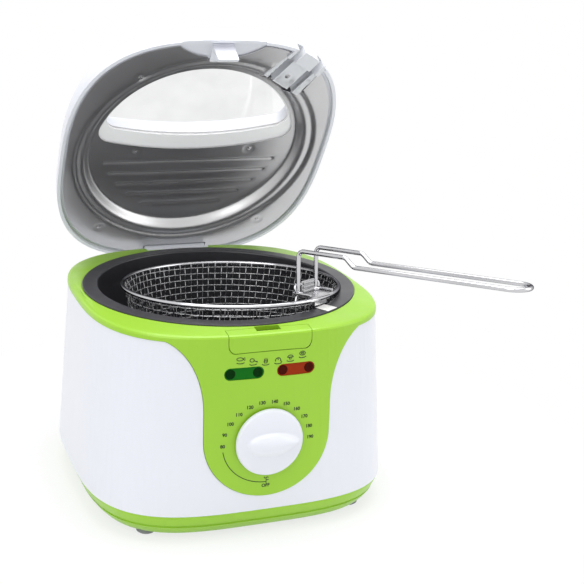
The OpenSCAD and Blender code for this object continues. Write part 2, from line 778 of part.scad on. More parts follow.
function rib_half(y) = sqrt(panel_r * panel_r - y * y) - 8.8 - 0.18 * y;
module lid_liner() {
    t = liner_t;
    color(steel) opened() difference() {
        union() {
            translate([0, 0, liner_z]) linear_extrude(height = t) difference() {
                liner_plan();
                circle(r = step_r);
            }
            rotate_extrude($fn = 120) polygon([[0, raised_z], [panel_r, raised_z],
                [panel_r + 1.4, raised_z - 1.4], [panel_r + 4.2, land_z + 0.8],
                [panel_r + 5, land_z], [step_r - 0.8, land_z], [step_r - 0.4, liner_z],
                [step_r, liner_z], [step_r, liner_z + t], [step_r, land_z + t],
                [panel_r + 5.4, land_z + t], [panel_r + 1.9, raised_z - 0.6],
                [panel_r + 0.4, raised_z + t], [0, raised_z + t]]);
        }
        window_prism(0, raised_z - 5, raised_z + 5, well_edge_y);
        // ribs pressed into the back half
        for (y = [16 : 11.7 : 63]) translate([0, y, raised_z - 1.9]) rotate([0, 90, 0])
            cylinder(r = 2.3, h = 2 * rib_half(y), center = true, $fn = 32);
        port_body(0.15, liner_z - 5);
        channels(bowl_r - 9);
        for (p = lid_screw_at) translate([p.x, p.y, liner_z - 1]) cylinder(r = 1.6, h = 4);
        for (p = panel_screw_at) translate([p.x, p.y, raised_z - 1]) cylinder(r = 1.6, h = 4);
        // notch for the catch
        box([-8.2, front_y, liner_z - 1], [8.2, catch_in_y + 0.6, land_z + 2]);
    }
}

glass_z = raised_z + liner_t + 1.6;
module window_gasket() {
    color([0.82, 0.83, 0.84]) opened() difference() {
        window_prism(2.9, raised_z + liner_t, glass_z + 3.4, well_edge_y);
        window_prism(-1.2, raised_z, glass_z + 5);
        window_prism(1.4, glass_z, glass_z + 3.2);
    }
}

module window_glass() {
    color([0.75, 0.8, 0.8, 0.4]) opened() window_prism(1.4, glass_z, glass_z + 3.2);
}

// Frame that lines the window's well from the dome down to the gasket
module window_frame() {
    color([0.88, 0.89, 0.92]) opened() intersection() {
        difference() {
            window_prism(2.9, glass_z + 3.4, dome_top);
            window_prism(0.7, glass_z, dome_top + 1);
        }
        loft([for (s = dome_steps) dome_ring(s, 0.4, 0.4)]);
    }
}

module handle_port() {
    color([0.8, 0.81, 0.83]) opened() difference() {
        intersection() {
            port_body(0, lid_rim_z + 0.3);
            loft([lid_ring(0.3, lid_rim_z - 1), lid_ring(0.3, lid_rim_z + 40)]);
        }
        // underside over the liner stays level with it
        along_handle() box([bowl_r - 9, -40, lid_rim_z - 1], [bowl_r + 19.5, 40, liner_z]);
        channels(bowl_r - 9);
        // pressed ribs on each side of the channels
        along_handle() {
            for (y = [-13.4, 17.2]) for (x = [bowl_r : 4.4 : bowl_r + 14])
                box([x, y - 1.9, liner_z - 1], [x + 2.6, y + 1.9, liner_z + 4]);
            for (y = [-3.6, 7.2]) box([bowl_r + 8, y - 1.6, liner_z - 1],
                [bowl_r + 17, y + 1.6, liner_z + 4]);
        }
        translate([lid_screw_at[1].x, lid_screw_at[1].y, 0]) {
            cylinder(r = 1.6, h = 300);
            cylinder(r = 4, h = liner_z + port_screw_up);
            translate([0, 0, liner_z + 4]) cylinder(r = 4.7, h = 60);
        }
    }
}

// Hook on the lid that snaps under the latch
catch_y = front_y + 5.85;
catch_in_y = 2.1 - step_r;
module lid_catch() {
    color([0.94, 0.95, 0.97]) opened() {
        box([-7.6, catch_y, rim_z - 12], [7.6, catch_y + 1.9, rim_z + 1]);
        box([-7.6, slot_front_y, rim_z + 0.4], [7.6, catch_in_y, liner_z + liner_t]);
        box([-7.6, catch_in_y - 4, rim_z + 1], [7.6, catch_in_y, liner_z + liner_t + 3]);
        rotate([90, 0, 90]) linear_extrude(height = 15.2, center = true)
            polygon([[catch_y, rim_z - 14.2], [catch_y + 1.4, rim_z - 14.2],
                [catch_y + 3.7, rim_z - 12.4], [catch_y + 3.7, rim_z - 12],
                [catch_y, rim_z - 12]]);
    }
}

module screw_head(t) {
    difference() {
        union() {
            translate([0, 0, -t]) cylinder(r1 = 2.6, r2 = 3.5, h = t);
            cylinder(r = 1.3, h = 6);
        }
        for (a = [0, 90]) rotate([0, 0, a + 20]) translate([-1.8, -0.4, -t - 1])
            cube([3.6, 0.8, 1.5]);
    }
}

module lid_screws() {
    color(steel) opened() {
        for (i = [0 : 3]) translate([lid_screw_at[i].x, lid_screw_at[i].y,
            liner_z + (i == 1 ? port_screw_up : 0)]) screw_head(0.8);
        for (p = panel_screw_at) translate([p.x, p.y, raised_z]) screw_head(1.3);
    }
}

// Dial, drawn about its own axis and turned onto -Y
shaft_r = 3;
knob_back_y = panel_front_y - 0.8;
module on_dial(y) { translate([0, y, dial_z]) rotate([90, 0, 0]) children(); }

module dial_knob() {
    r = dial_r;
    color(white) on_dial(knob_back_y) difference() {
        union() {
            rotate_extrude() polygon([[0, 0], [r - 0.3, 0], [r, 0.4], [r, 3.6], [r - 0.5, 4.6],
                [r - 2, 5.6], [r - 5, 6.8], [r - 9, 7.7], [r - 14, 8.2], [0, 8.4]]);
            // grip across the dial, pointed at both ends
            intersection() {
                linear_extrude(height = 18) intersection() {
                    translate([0, 27]) circle(r = 34.5);
                    translate([0, -27]) circle(r = 34.5);
                    circle(r = r - 1.2);
                }
                rotate_extrude() polygon([[0, 0], [r - 1.4, 0], [r - 1.4, 8], [r - 3, 11.4],
                    [r - 7, 13.6], [r - 14, 14.8], [0, 15.2]]);
            }
        }
        // hollow underside that clears the thermostat's neck, and the shaft's bore
        difference() {
            translate([0, 0, -1]) cylinder(r = r - 2, h = 4.6);
            translate([0, 0, -2]) cylinder(r = 6.6, h = 8);
        }
        translate([0, 0, -1]) cylinder(r = neck_r + 0.5, h = 3.9);
        translate([0, 0, -1]) cylinder(r = shaft_r, h = 12);
        // pointer groove at the grip's end
        translate([r - 8.4, -0.6, 11]) cube([8, 1.2, 6]);
    }
}

module dial_shaft() {
    color([0.85, 0.72, 0.4]) on_dial(stat_back_y - 3)
        cylinder(r = shaft_r, h = stat_back_y - 3 - knob_back_y + 10.5);
}

bar_back_y = front_y + 10.85;
module latch_button() {
    color(lime) difference() {
        union() {
            intersection() {
                union() {
                    difference() {
                        bezel_solid();
                        bezel_inside();
                    }
                    front_skin(lime_proud, lime_proud - skin);
                }
                latch_prism(0);
            }
            // cheeks with the pins
            for (s = [-1, 1]) translate([s * (latch_half - 1.5), 0, 0])
                box([-1.4, latch_pin_y - 2.2, latch_pin_z - 2.6],
                    [1.4, latch_back_y, edge_z - 0.4]);
            rod_x(latch_pin_r, -latch_half - 3.2, latch_half + 3.2, latch_pin_y, latch_pin_z);
            // arms and the bar that holds the lid's hook down
            for (s = [-1, 1]) translate([s * 10.6, 0, 0]) {
                box([-1.5, front_y + 3.65, rim_z - 12], [1.5, latch_back_y - 0.2, edge_z - 1.4]);
                box([-1.5, front_y + 6.25, rim_z - 12], [1.5, bar_back_y, rim_z - 7]);
            }
            box([-11.5, bar_back_y - 2.5, rim_z - 11.9], [11.5, bar_back_y, rim_z - 9]);
        }
        box([-slot_half, slot_front_y, rim_z - 8.8], [slot_half, slot_back_y, rim_z + 1]);
    }
}

module basket_place() {
    translate([7, -6.2, rim_z + 0.6]) rotate([-basket_lean, 0.57, 0]) children();
}

module basket_rim() {
    color(steel) basket_place() rotate_extrude($fn = 120) translate([basket_r, 0])
        circle(r = rim_wire / 2, $fn = 24);
}

basket_low_r = basket_r - 7.5;
mesh_t = 0.9;
module basket_mesh() {
    r = basket_r - rim_wire / 2;
    color([0.6, 0.6, 0.6]) basket_place() rotate_extrude($fn = 120) polygon([
        [0, -basket_depth], [basket_low_r - 5, -basket_depth],
        [basket_low_r - 1.5, -basket_depth + 1.5], [basket_low_r, -basket_depth + 5],
        [r, -rim_wire / 2], [r, 1], [r - mesh_t, 1], [r - mesh_t, -rim_wire / 2],
        [basket_low_r - mesh_t, -basket_depth + 5], [basket_low_r - 2.2, -basket_depth + 2.1],
        [basket_low_r - 5.2, -basket_depth + mesh_t], [0, -basket_depth + mesh_t]]);
}

// The basket's own frame, with x along the handle
leg_x = basket_r - 12.7;
leg_rise = handle_rise + 4;
module on_basket() {
    basket_place() rotate([0, 0, handle_turn]) translate([0, 1.9, 0]) children();
}

module rim_cutter(grow) {
    basket_place() rotate_extrude($fn = 120) translate([basket_r, 0])
        circle(r = rim_wire / 2 + grow, $fn = 24);
}

module basket_bracket() {
    top = rim_wire / 2;
    color([0.66, 0.66, 0.68]) difference() {
        on_basket() union() {
            // top plate that the handle's legs stand on
            box([leg_x - 2.6, -12.6, top], [basket_r + 1.4, 12.6, top + 1.2]);
            // lip outside the wall and pressed plate inside it
            box([basket_r - rim_wire / 2, -7.2, -4.6], [basket_r - 0.4, 7.2, 0.2]);
            box([leg_x + 5.4, -9, -15], [leg_x + 6.6, 9, top]);
            for (y = [-6 : 4 : 6]) translate([leg_x + 6.6, y, -13]) cylinder(r = 0.9, h = 13);
        }
        rim_cutter(0);
    }
}

module basket_eyes() {
    z = rim_wire / 2 + 2.3;
    color(steel) on_basket() for (s = [-1, 1]) {
        translate([leg_x, s * handle_gap / 2, z])
            rotate_extrude($fn = 32) translate([handle_wire_d / 2 + 1.1, 0])
                circle(r = 1.1, $fn = 16);
        rod_x(0.95, leg_x + 0.6, basket_r + 0.2, s * (handle_gap / 2 + handle_wire_d / 2 + 1.1), z);
    }
}

function arc3(cx, cz, r, a0, a1, y, n = 6) = [for (i = [0 : n]) let (a = a0 + (a1 - a0) * i / n)
    [cx + r * cos(a), y, cz + r * sin(a)]];
module basket_handle() {
    low = rim_wire / 2 + 1.2;
    bend = 5;
    jog = leg_x + 38.8;
    end_x = leg_x + handle_l;
    loop_r = handle_gap / 2;
    drop = 5.5;
    z2 = leg_rise - drop;
    rise = 0.0105;
    zl = z2 + (end_x - loop_r - jog - 6.3) * rise;
    half = concat(
        [[leg_x, loop_r, low], [leg_x, loop_r, leg_rise - bend]],
        arc3(leg_x + bend, leg_rise - bend, bend, 170, 90, loop_r, 5),
        [[jog - 1.6, loop_r, leg_rise], [jog + 0.4, loop_r, leg_rise - 0.6],
            [jog + 5.6, loop_r, z2 + 0.7], [jog + 7.6, loop_r, z2 + 0.03],
            [end_x - loop_r - 1, loop_r, zl]]);
    tip = [for (i = [0 : 12]) let (a = 90 - 180 * i / 12)
        [end_x - loop_r + loop_r * cos(a), loop_r * sin(a), zl]];
    other = [for (i = [len(half) - 1 : -1 : 0]) [half[i].x, -half[i].y, half[i].z]];
    color([0.75, 0.76, 0.78]) on_basket() wire(concat(half, tip, other), handle_wire_d,
        [1, 1, -1], 12);
}

body_shell();
top_bezel();
base_tray();
rubber_feet();
base_screws();
tie_posts();
fryer_bowl();
drain_rest();
heat_shield();
heater_plate();
heating_element();
element_clips();
element_insulators();
centre_stud();
stud_nut();
thermal_cutout();
thermostat();
thermostat_probe();
terminal_block();
green_lens();
red_lens();
neon_lamps();
cord_gland();
hinge_well();
hinge_pin();
lid_spring();
latch_spring();
lid_shell();
lid_liner();
window_frame();
window_glass();
window_gasket();
handle_port();
lid_catch();
lid_screws();
dial_knob();
dial_shaft();
latch_button();
basket_rim();
basket_mesh();
basket_bracket();
basket_eyes();
basket_handle();
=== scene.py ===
"""Studio scene of the mini deep fryer: its pieces, finishes, lights and camera. Metres."""
import json
import math

import bmesh
import bpy
from mathutils import Matrix, Vector, geometry
from mathutils.bvhtree import BVHTree


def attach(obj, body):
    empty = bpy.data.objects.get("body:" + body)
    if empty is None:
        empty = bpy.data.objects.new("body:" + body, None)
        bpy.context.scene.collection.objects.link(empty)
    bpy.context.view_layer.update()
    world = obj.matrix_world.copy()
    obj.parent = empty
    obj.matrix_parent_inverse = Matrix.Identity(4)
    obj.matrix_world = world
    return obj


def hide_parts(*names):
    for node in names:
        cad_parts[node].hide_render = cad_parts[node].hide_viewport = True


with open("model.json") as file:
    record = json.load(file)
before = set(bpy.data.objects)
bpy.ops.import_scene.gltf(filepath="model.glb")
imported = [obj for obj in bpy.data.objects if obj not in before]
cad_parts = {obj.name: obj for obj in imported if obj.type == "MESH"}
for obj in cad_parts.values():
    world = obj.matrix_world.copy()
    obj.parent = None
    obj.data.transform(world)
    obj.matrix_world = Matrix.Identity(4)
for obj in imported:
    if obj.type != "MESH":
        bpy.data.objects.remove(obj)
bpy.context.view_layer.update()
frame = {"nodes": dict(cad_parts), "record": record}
nodes = frame["nodes"]

MM = 0.001
scene = bpy.context.scene


# ---------------------------------------------------------------- shader groups
def new_group(name, inputs, outputs):
    """An empty shader group with its inputs [(name, kind, value)] and outputs [(name, kind)]."""
    g = bpy.data.node_groups.new(name, "ShaderNodeTree")
    for label, kind, value in inputs:
        socket = g.interface.new_socket(label, in_out="INPUT", socket_type=kind)
        socket.default_value = (*value, 1) if kind == "NodeSocketColor" else value
    for label, kind in outputs:
        g.interface.new_socket(label, in_out="OUTPUT", socket_type=kind)
    return g, g.nodes.new("NodeGroupInput").outputs, g.nodes.new("NodeGroupOutput").inputs


def feed(t, socket, value):
    """Gives a socket a number or joins another socket to it."""
    if isinstance(value, (int, float)):
        socket.default_value = value
    else:
        t.links.new(value, socket)


def calc(t, kind, a, b=None):
    """A Math node on numbers or sockets."""
    n = t.nodes.new("ShaderNodeMath")
    n.operation = kind
    feed(t, n.inputs[0], a)
    if b is not None:
        feed(t, n.inputs[1], b)
    return n.outputs[0]


def noise(t, place, scale, detail, rough=0.5):
    """Noise whose scale is a number or a socket."""
    n = t.nodes.new("ShaderNodeTexNoise")
    n.inputs["Detail"].default_value = detail
    n.inputs["Roughness"].default_value = rough
    feed(t, n.inputs["Scale"], scale)
    t.links.new(place, n.inputs["Vector"])
    return n.outputs["Fac"]


def spread(t, value, low=0.0, high=1.0, a=0.35, b=0.65):
    """Maps a..b to low..high, each a number or a socket."""
    r = t.nodes.new("ShaderNodeMapRange")
    for label, v in (("From Min", a), ("From Max", b), ("To Min", low), ("To Max", high)):
        feed(t, r.inputs[label], v)
    t.links.new(value, r.inputs["Value"])
    return r.outputs["Result"]


def blend(t, fac, a, b):
    """A colour between a and b, where b is a socket or a plain colour."""
    m = t.nodes.new("ShaderNodeMix")
    m.data_type = "RGBA"
    t.links.new(fac, m.inputs[0])
    t.links.new(a, m.inputs[6])
    if isinstance(b, tuple):
        m.inputs[7].default_value = b
    else:
        t.links.new(b, m.inputs[7])
    return m.outputs[2]


def bump(t, height, strength, distance):
    """A normal from a height, its strength a socket and its distance in metres."""
    b = t.nodes.new("ShaderNodeBump")
    b.inputs["Distance"].default_value = distance
    t.links.new(strength, b.inputs["Strength"])
    t.links.new(height, b.inputs["Height"])
    return b.outputs["Normal"]


SURFACE = [("Color", "NodeSocketColor"), ("Roughness", "NodeSocketFloat"),
           ("Normal", "NodeSocketVector")]


def moulded_skin():
    """Moulded plastic: a slow drift of shade, uneven gloss and a fine skin."""
    g, have, give = new_group("moulded_skin", [
        ("Base", "NodeSocketColor", (0.8, 0.8, 0.8)), ("Shade", "NodeSocketColor", (0.7, 0.7, 0.7)),
        ("Drift", "NodeSocketFloat", 9.0), ("Gloss", "NodeSocketFloat", 0.25),
        ("Matt", "NodeSocketFloat", 0.35), ("Grain", "NodeSocketFloat", 900.0),
        ("Peel", "NodeSocketFloat", 0.05)], SURFACE)
    place = g.nodes.new("ShaderNodeTexCoord").outputs["Object"]
    drift = spread(g, noise(g, place, have["Drift"], 2))
    g.links.new(blend(g, drift, have["Shade"], have["Base"]), give["Color"])
    g.links.new(spread(g, noise(g, place, 60, 3), have["Gloss"], have["Matt"]), give["Roughness"])
    g.links.new(bump(g, noise(g, place, have["Grain"], 2), have["Peel"], 0.0001), give["Normal"])
    return g


def brushed_grain():
    """Worked metal: its grain runs along the axis that Along shortens."""
    g, have, give = new_group("brushed_grain", [
        ("Base", "NodeSocketColor", (0.5, 0.5, 0.5)), ("Shade", "NodeSocketColor", (0.4, 0.4, 0.4)),
        ("Drift", "NodeSocketFloat", 14.0), ("Gloss", "NodeSocketFloat", 0.2),
        ("Matt", "NodeSocketFloat", 0.3), ("Along", "NodeSocketVector", (1, 1, 1)),
        ("Grain", "NodeSocketFloat", 600.0), ("Depth", "NodeSocketFloat", 0.05)], SURFACE)
    place = g.nodes.new("ShaderNodeTexCoord").outputs["Object"]
    drift = spread(g, noise(g, place, have["Drift"], 2))
    g.links.new(blend(g, drift, have["Shade"], have["Base"]), give["Color"])
    along = g.nodes.new("ShaderNodeVectorMath")
    along.operation = "MULTIPLY"
    g.links.new(place, along.inputs[0])
    g.links.new(have["Along"], along.inputs[1])
    grain = noise(g, along.outputs["Vector"], have["Grain"], 4, 0.6)
    g.links.new(spread(g, grain, have["Gloss"], have["Matt"], 0.3, 0.7), give["Roughness"])
    g.links.new(bump(g, grain, have["Depth"], 0.00005), give["Normal"])
    return g


SKIN, GRAIN = moulded_skin(), brushed_grain()


# ---------------------------------------------------------------- materials
def new_material(name):
    """A new material, its tree and its shader."""
    m = bpy.data.materials.new(name)
    m.use_nodes = True
    return m, m.node_tree, m.node_tree.nodes["Principled BSDF"]


def surface(t, shader, group, values):
    """Puts a group in a material with its own values and joins it to the shader."""
    n = t.nodes.new("ShaderNodeGroup")
    n.node_tree = group
    for label, value in values.items():
        n.inputs[label].default_value = (*value, 1) if label in ("Base", "Shade") else value
    for out, into in (("Color", "Base Color"), ("Roughness", "Roughness"), ("Normal", "Normal")):
        t.links.new(n.outputs[out], shader.inputs[into])


def plastic(name, base, shade, gloss, peel, coat, grain=900):
    """Moulded plastic, rubber, ceramic or coating in two near colours."""
    m, t, p = new_material(name)
    surface(t, p, SKIN, {"Base": base, "Shade": shade, "Gloss": gloss[0], "Matt": gloss[1],
                         "Peel": peel, "Grain": grain})
    p.inputs["Coat Weight"].default_value = coat
    p.inputs["Coat Roughness"].default_value = 0.12
    return m


def painted_grey_reflection(m, grey=0.3):
    """Paints this plastic plain grey where a reflection sees it: a painted reflection, so metal
    beside it mirrors grey instead of its colour.
    """
    t = m.node_tree
    colour = t.nodes["Principled BSDF"].inputs["Base Color"]
    mirrored = t.nodes.new("ShaderNodeLightPath").outputs["Is Glossy Ray"]
    mixed = blend(t, mirrored, colour.links[0].from_socket, (grey, grey, grey, 1))
    t.links.new(mixed, colour)
    return m


def painted_glow(m, strength):
    """A pale part with a painted white glow, which keeps it bright where it lies in shade; no light
    passes through it.
    """
    p = m.node_tree.nodes["Principled BSDF"]
    p.inputs["Emission Color"].default_value = (1, 1, 1, 1)
    p.inputs["Emission Strength"].default_value = strength
    return m


def dark_edges(m):
    """A polished round wire, which mirrors less where it curves away."""
    p = m.node_tree.nodes["Principled BSDF"]
    p.inputs["Specular Tint"].default_value = (0.12, 0.12, 0.13, 1)
    return m


def metal(name, base, shade, gloss=(0.18, 0.3), along=(1, 1, 1), grain=600, depth=0.04):
    """Worked metal in two near colours."""
    m, t, p = new_material(name)
    surface(t, p, GRAIN, {"Base": base, "Shade": shade, "Gloss": gloss[0], "Matt": gloss[1],
                          "Along": along, "Grain": grain, "Depth": depth})
    p.inputs["Metallic"].default_value = 1.0
    return m


def clear(name, base, gloss, transmission=1.0, shine=0.5):
    """Glass or tinted plastic; less transmission makes it deeper and cloudier."""
    m, t, p = new_material(name)
    p.inputs["Specular IOR Level"].default_value = shine
    surface(t, p, SKIN, {"Base": base, "Shade": [c * 0.94 for c in base], "Drift": 40.0,
                         "Gloss": gloss * 0.8, "Matt": gloss * 1.2, "Peel": 0.0})
    p.inputs["Transmission Weight"].default_value = transmission
    p.inputs["IOR"].default_value = 1.5
    return m


MATS = {
    "white_shell": plastic("white_shell", (0.79, 0.80, 0.85), (0.785, 0.795, 0.846),
                            (0.28, 0.31), 0.006, 0.2),
    # lime_plastic is painted plain grey in reflections: a painted reflection on the metal beside it
    "lime_plastic": painted_grey_reflection(plastic("lime_plastic", (0.325, 0.605, 0.024),
                                            (0.31, 0.585, 0.022), (0.32, 0.42), 0.04, 0.1)),
    "nonstick": plastic("nonstick", (0.040, 0.040, 0.046), (0.031, 0.031, 0.035),
                        (0.30, 0.38), 0.12, 0.0, 1400),
    "liner_steel": metal("liner_steel", (0.64, 0.64, 0.645), (0.59, 0.59, 0.595), (0.30, 0.38),
                         (0.05, 1, 1), 900, 0.02),
    "bright_steel": metal("bright_steel", (0.62, 0.62, 0.63), (0.5, 0.5, 0.51)),
    "strip_steel": metal("strip_steel", (0.93, 0.93, 0.9), (0.86, 0.86, 0.83), (0.42, 0.55)),
    "inner_metal": metal("inner_metal", (0.62, 0.63, 0.64), (0.5, 0.5, 0.52), (0.3, 0.45)),
    "element_steel": metal("element_steel", (0.10, 0.085, 0.075), (0.06, 0.05, 0.045),
                           (0.5, 0.7)),
    "chrome_wire": dark_edges(metal("chrome_wire", (0.66, 0.66, 0.68), (0.52, 0.52, 0.54),
                                    (0.08, 0.16))),
    "mesh_steel": metal("mesh_steel", (0.46, 0.46, 0.47), (0.34, 0.34, 0.35), (0.2, 0.32)),
    "grey_plastic": plastic("grey_plastic", (0.74, 0.75, 0.78), (0.71, 0.72, 0.75),
                            (0.35, 0.45), 0.05, 0.1),
    "dark_plastic": plastic("dark_plastic", (0.03, 0.03, 0.03), (0.02, 0.02, 0.02),
                            (0.4, 0.5), 0.2, 0.0),
    "ceramic": plastic("ceramic", (0.68, 0.66, 0.6), (0.6, 0.57, 0.5), (0.5, 0.65), 0.3, 0.0),
    "foot_rubber": plastic("foot_rubber", (0.30, 0.30, 0.32), (0.25, 0.25, 0.27),
                           (0.6, 0.75), 0.4, 0.0),
    # pale_rubber has a painted white glow: it lights itself though it is no lamp
    "pale_rubber": painted_glow(plastic("pale_rubber", (0.88, 0.88, 0.89), (0.85, 0.85, 0.86),
                                   (0.3, 0.4), 0.02, 0.2), 0.14),
    "print_ink": plastic("print_ink", (0.012, 0.035, 0.006), (0.01, 0.03, 0.005),
                         (0.6, 0.7), 0.02, 0.0),
    "clear_glass": clear("clear_glass", (0.98, 0.985, 0.985), 0.02),
    "green_window": clear("green_window", (0.004, 0.16, 0.008), 0.4, 0.1, 0.06),
    "red_window": clear("red_window", (0.34, 0.030, 0.003), 0.4, 0.1, 0.06),
    "green_deep": clear("green_deep", (0.002, 0.03, 0.003), 0.5, 0.0, 0.04),
    "red_deep": clear("red_deep", (0.06, 0.005, 0.002), 0.5, 0.0, 0.04),
    "lamp_glass": clear("lamp_glass", (0.8, 0.6, 0.4), 0.1, 0.6),
    "brass_nut": metal("brass_nut", (0.62, 0.46, 0.18), (0.5, 0.36, 0.13), (0.25, 0.4)),
    "copper_tube": metal("copper_tube", (0.5, 0.24, 0.13), (0.4, 0.18, 0.1), (0.3, 0.45)),
}


def smooth(o, degrees):
    """Smooth faces, with the folds sharper than degrees kept crisp."""
    me = o.data
    me.polygons.foreach_set("use_smooth", [True] * len(me.polygons))
    bm = bmesh.new()
    bm.from_mesh(me)
    limit = math.radians(degrees)
    for e in bm.edges:
        e.smooth = len(e.link_faces) == 2 and e.calc_face_angle(math.tau) < limit
    bm.to_mesh(me)
    bm.free()


slots = {s["node"]: s["material_slot"] for s in frame["record"]["subparts"]}
for name, o in nodes.items():
    o.data.materials.clear()
    o.data.materials.append(MATS[slots[name]])
    o.modifiers.new("even normals", "WEIGHTED_NORMAL").keep_sharp = True


# ---------------------------------------------------------------- mesh helpers
def bare_object(name, points, edges=(), faces=()):
    """A mesh object at the origin from millimetre points, linked but not finished."""
    me = bpy.data.meshes.new(name)
    me.from_pydata([tuple(c * MM for c in p) for p in points], edges, faces)
    me.validate()
    o = bpy.data.objects.new(name, me)
    scene.collection.objects.link(o)
    return o


def add_object(name, verts, faces, mat, body, replaced=(), angle=30):
    """A finished piece from millimetre points and faces."""
    o = bare_object(name, verts, (), faces)
    o.data.materials.append(MATS[mat])
    smooth(o, angle)
    finish_piece(o, body, replaced)
    return o


def finish_piece(o, body, replaced=()):
    """Puts a piece on its body and in the place of the nodes it stands for."""
    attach(o, body)
    if replaced:
        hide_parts(*replaced)


def settle(o):
    """Turns a piece's modifiers into its mesh."""
    old = o.data
    new = bpy.data.meshes.new_from_object(o.evaluated_get(bpy.context.evaluated_depsgraph_get()))
    o.modifiers.clear()
    o.data = new
    new.name = o.name
    bpy.data.meshes.remove(old)


# ---------------------------------------------------------------- geometry node trees
def new_tree(name, inputs):
    """A geometry tree whose inputs are a geometry, its own [(name, kind)] and a material."""
    g = bpy.data.node_groups.new(name, "GeometryNodeTree")
    for label, kind in [("Geometry", "NodeSocketGeometry"), *inputs,
                        ("Material", "NodeSocketMaterial")]:
        g.interface.new_socket(label, in_out="INPUT", socket_type=kind)
    g.interface.new_socket("Geometry", in_out="OUTPUT", socket_type="NodeSocketGeometry")
    return g, g.nodes.new("NodeGroupInput").outputs, g.nodes.new("NodeGroupOutput").inputs


def add_node(g, kind, links=None, **settings):
    """A node with its inputs joined by {input: socket or value}."""
    n = g.nodes.new(kind)
    for key, value in settings.items():
        setattr(n, key, value)
    for label, value in (links or {}).items():
        if isinstance(value, bpy.types.NodeSocket):
            g.links.new(value, n.inputs[label])
        else:
            n.inputs[label].default_value = value
    return n.outputs


def finish_tree(g, made, have, give):
    """Every tree ends in real geometry with its material set."""
    whole = add_node(g, "GeometryNodeRealizeInstances", {"Geometry": made})["Geometry"]
    skin = add_node(g, "GeometryNodeSetMaterial", {"Geometry": whole,
                                                   "Material": have["Material"]})["Geometry"]
    g.links.new(skin, give["Geometry"])
    return g


def wire_tree():
    """A round wire along every path of edges."""
    g, have, give = new_tree("wire_along_paths", [
        ("Radius", "NodeSocketFloat"), ("Sides", "NodeSocketInt")])
    path = add_node(g, "GeometryNodeMeshToCurve", {"Mesh": have["Geometry"]})["Curve"]
    profile = add_node(g, "GeometryNodeCurvePrimitiveCircle",
                       {"Resolution": have["Sides"], "Radius": have["Radius"]})["Curve"]
    wire = add_node(g, "GeometryNodeCurveToMesh",
                    {"Curve": path, "Profile Curve": profile, "Fill Caps": True})["Mesh"]
    soft = add_node(g, "GeometryNodeSetShadeSmooth", {"Geometry": wire})["Geometry"]
    return finish_tree(g, soft, have, give)


def run_tree(o, tree, values):
    """Runs a tree on an object and keeps the result as its plain mesh."""
    mod = o.modifiers.new(tree.name, "NODES")
    mod.node_group = tree
    for item in tree.interface.items_tree:
        if item.in_out == "INPUT" and item.name in values:
            mod[item.identifier] = values[item.name]
    settle(o)


WIRE = wire_tree()


def wires(name, paths, radius, sides, mat, body, replaced=(), place=Matrix(), closed=False):
    """Wires along paths of millimetre points."""
    verts, edges = [], []
    for path in paths:
        base, n = len(verts), len(path)
        verts += [place @ Vector(p) for p in path]
        edges += [(base + i, base + (i + 1) % n) for i in range(n if closed else n - 1)]
    o = bare_object(name, verts, edges)
    run_tree(o, WIRE, {"Radius": radius * MM, "Sides": sides, "Material": MATS[mat]})
    finish_piece(o, body, replaced)


class Soup:
    """Collects vertices and faces of many small forms into one mesh."""

    def __init__(self):
        self.v, self.f = [], []

    def grid(self, rows):
        """A closed form between rings of equally many points, with a face at each end."""
        base, n, last = len(self.v), len(rows[0]), len(rows) - 1
        for r in rows:
            self.v.extend(Vector(p) for p in r)
        for j in range(last):
            for i in range(n):
                k = (i + 1) % n
                self.f.append((base + j * n + i, base + j * n + k,
                               base + (j + 1) * n + k, base + (j + 1) * n + i))
        self.f.append(tuple(base + i for i in reversed(range(n))))
        self.f.append(tuple(base + last * n + i for i in range(n)))


def rounded(points, radii, n):
    """A path with each inner corner replaced by a bend of n steps."""
    pts = [Vector(p) for p in points]
    out = [pts[0]]
    for i in range(1, len(pts) - 1):
        b = pts[i]
        before, after = pts[i - 1] - b, pts[i + 1] - b
        # no bend is asked for, or the path runs straight on
        if radii[i] <= 0 or before.angle(-after) < 1e-3:
            out.append(b)
            continue
        half = before.angle(after) / 2
        reach = min(radii[i] / math.tan(half), before.length * 0.49, after.length * 0.49)
        r = reach * math.tan(half)
        before.normalize()
        after.normalize()
        centre = b + (before + after).normalized() * (r / math.sin(half))
        start = (b + before * reach - centre).normalized()
        end = (b + after * reach - centre).normalized()
        out += [centre + start.slerp(end, k / n) * r for k in range(n + 1)]
    out.append(pts[-1])
    return out


def ring(r, count, x=0.0, y=0.0):
    """Evenly spaced points (x, y) of a circle."""
    turns = [2 * math.pi * k / count for k in range(count)]
    return [(x + r * math.cos(a), y + r * math.sin(a)) for a in turns]


def scaled(matrix):
    """A placement in millimetres as one in metres."""
    m = matrix.copy()
    m.translation = m.translation * MM
    return m


# the bowl's rim, the lid's hinge and its angle when open, and the basket as it hangs
RIM_Z = 150.0
HINGE_Y, HINGE_Z = 109.6, RIM_Z - 16.6
OPEN = (Matrix.Translation((0, HINGE_Y, HINGE_Z)) @ Matrix.Rotation(math.radians(-56), 4, "X")
        @ Matrix.Translation((0, -HINGE_Y, -HINGE_Z)))
BASKET = (Matrix.Translation((7, -6.2, RIM_Z + 0.6))
          @ Matrix.Rotation(math.radians(0.57), 4, "Y")
          @ Matrix.Rotation(math.radians(-4.75), 4, "X"))
# frames whose x runs outward along the handle: on the bowl and lid, and on the basket
OUTWARD = Matrix.Rotation(math.radians(-57), 4, "Z")
ALONG = OUTWARD @ Matrix.Translation((0, 4.4, 0))
HANDLE = BASKET @ OUTWARD @ Matrix.Translation((0, 1.9, 0))


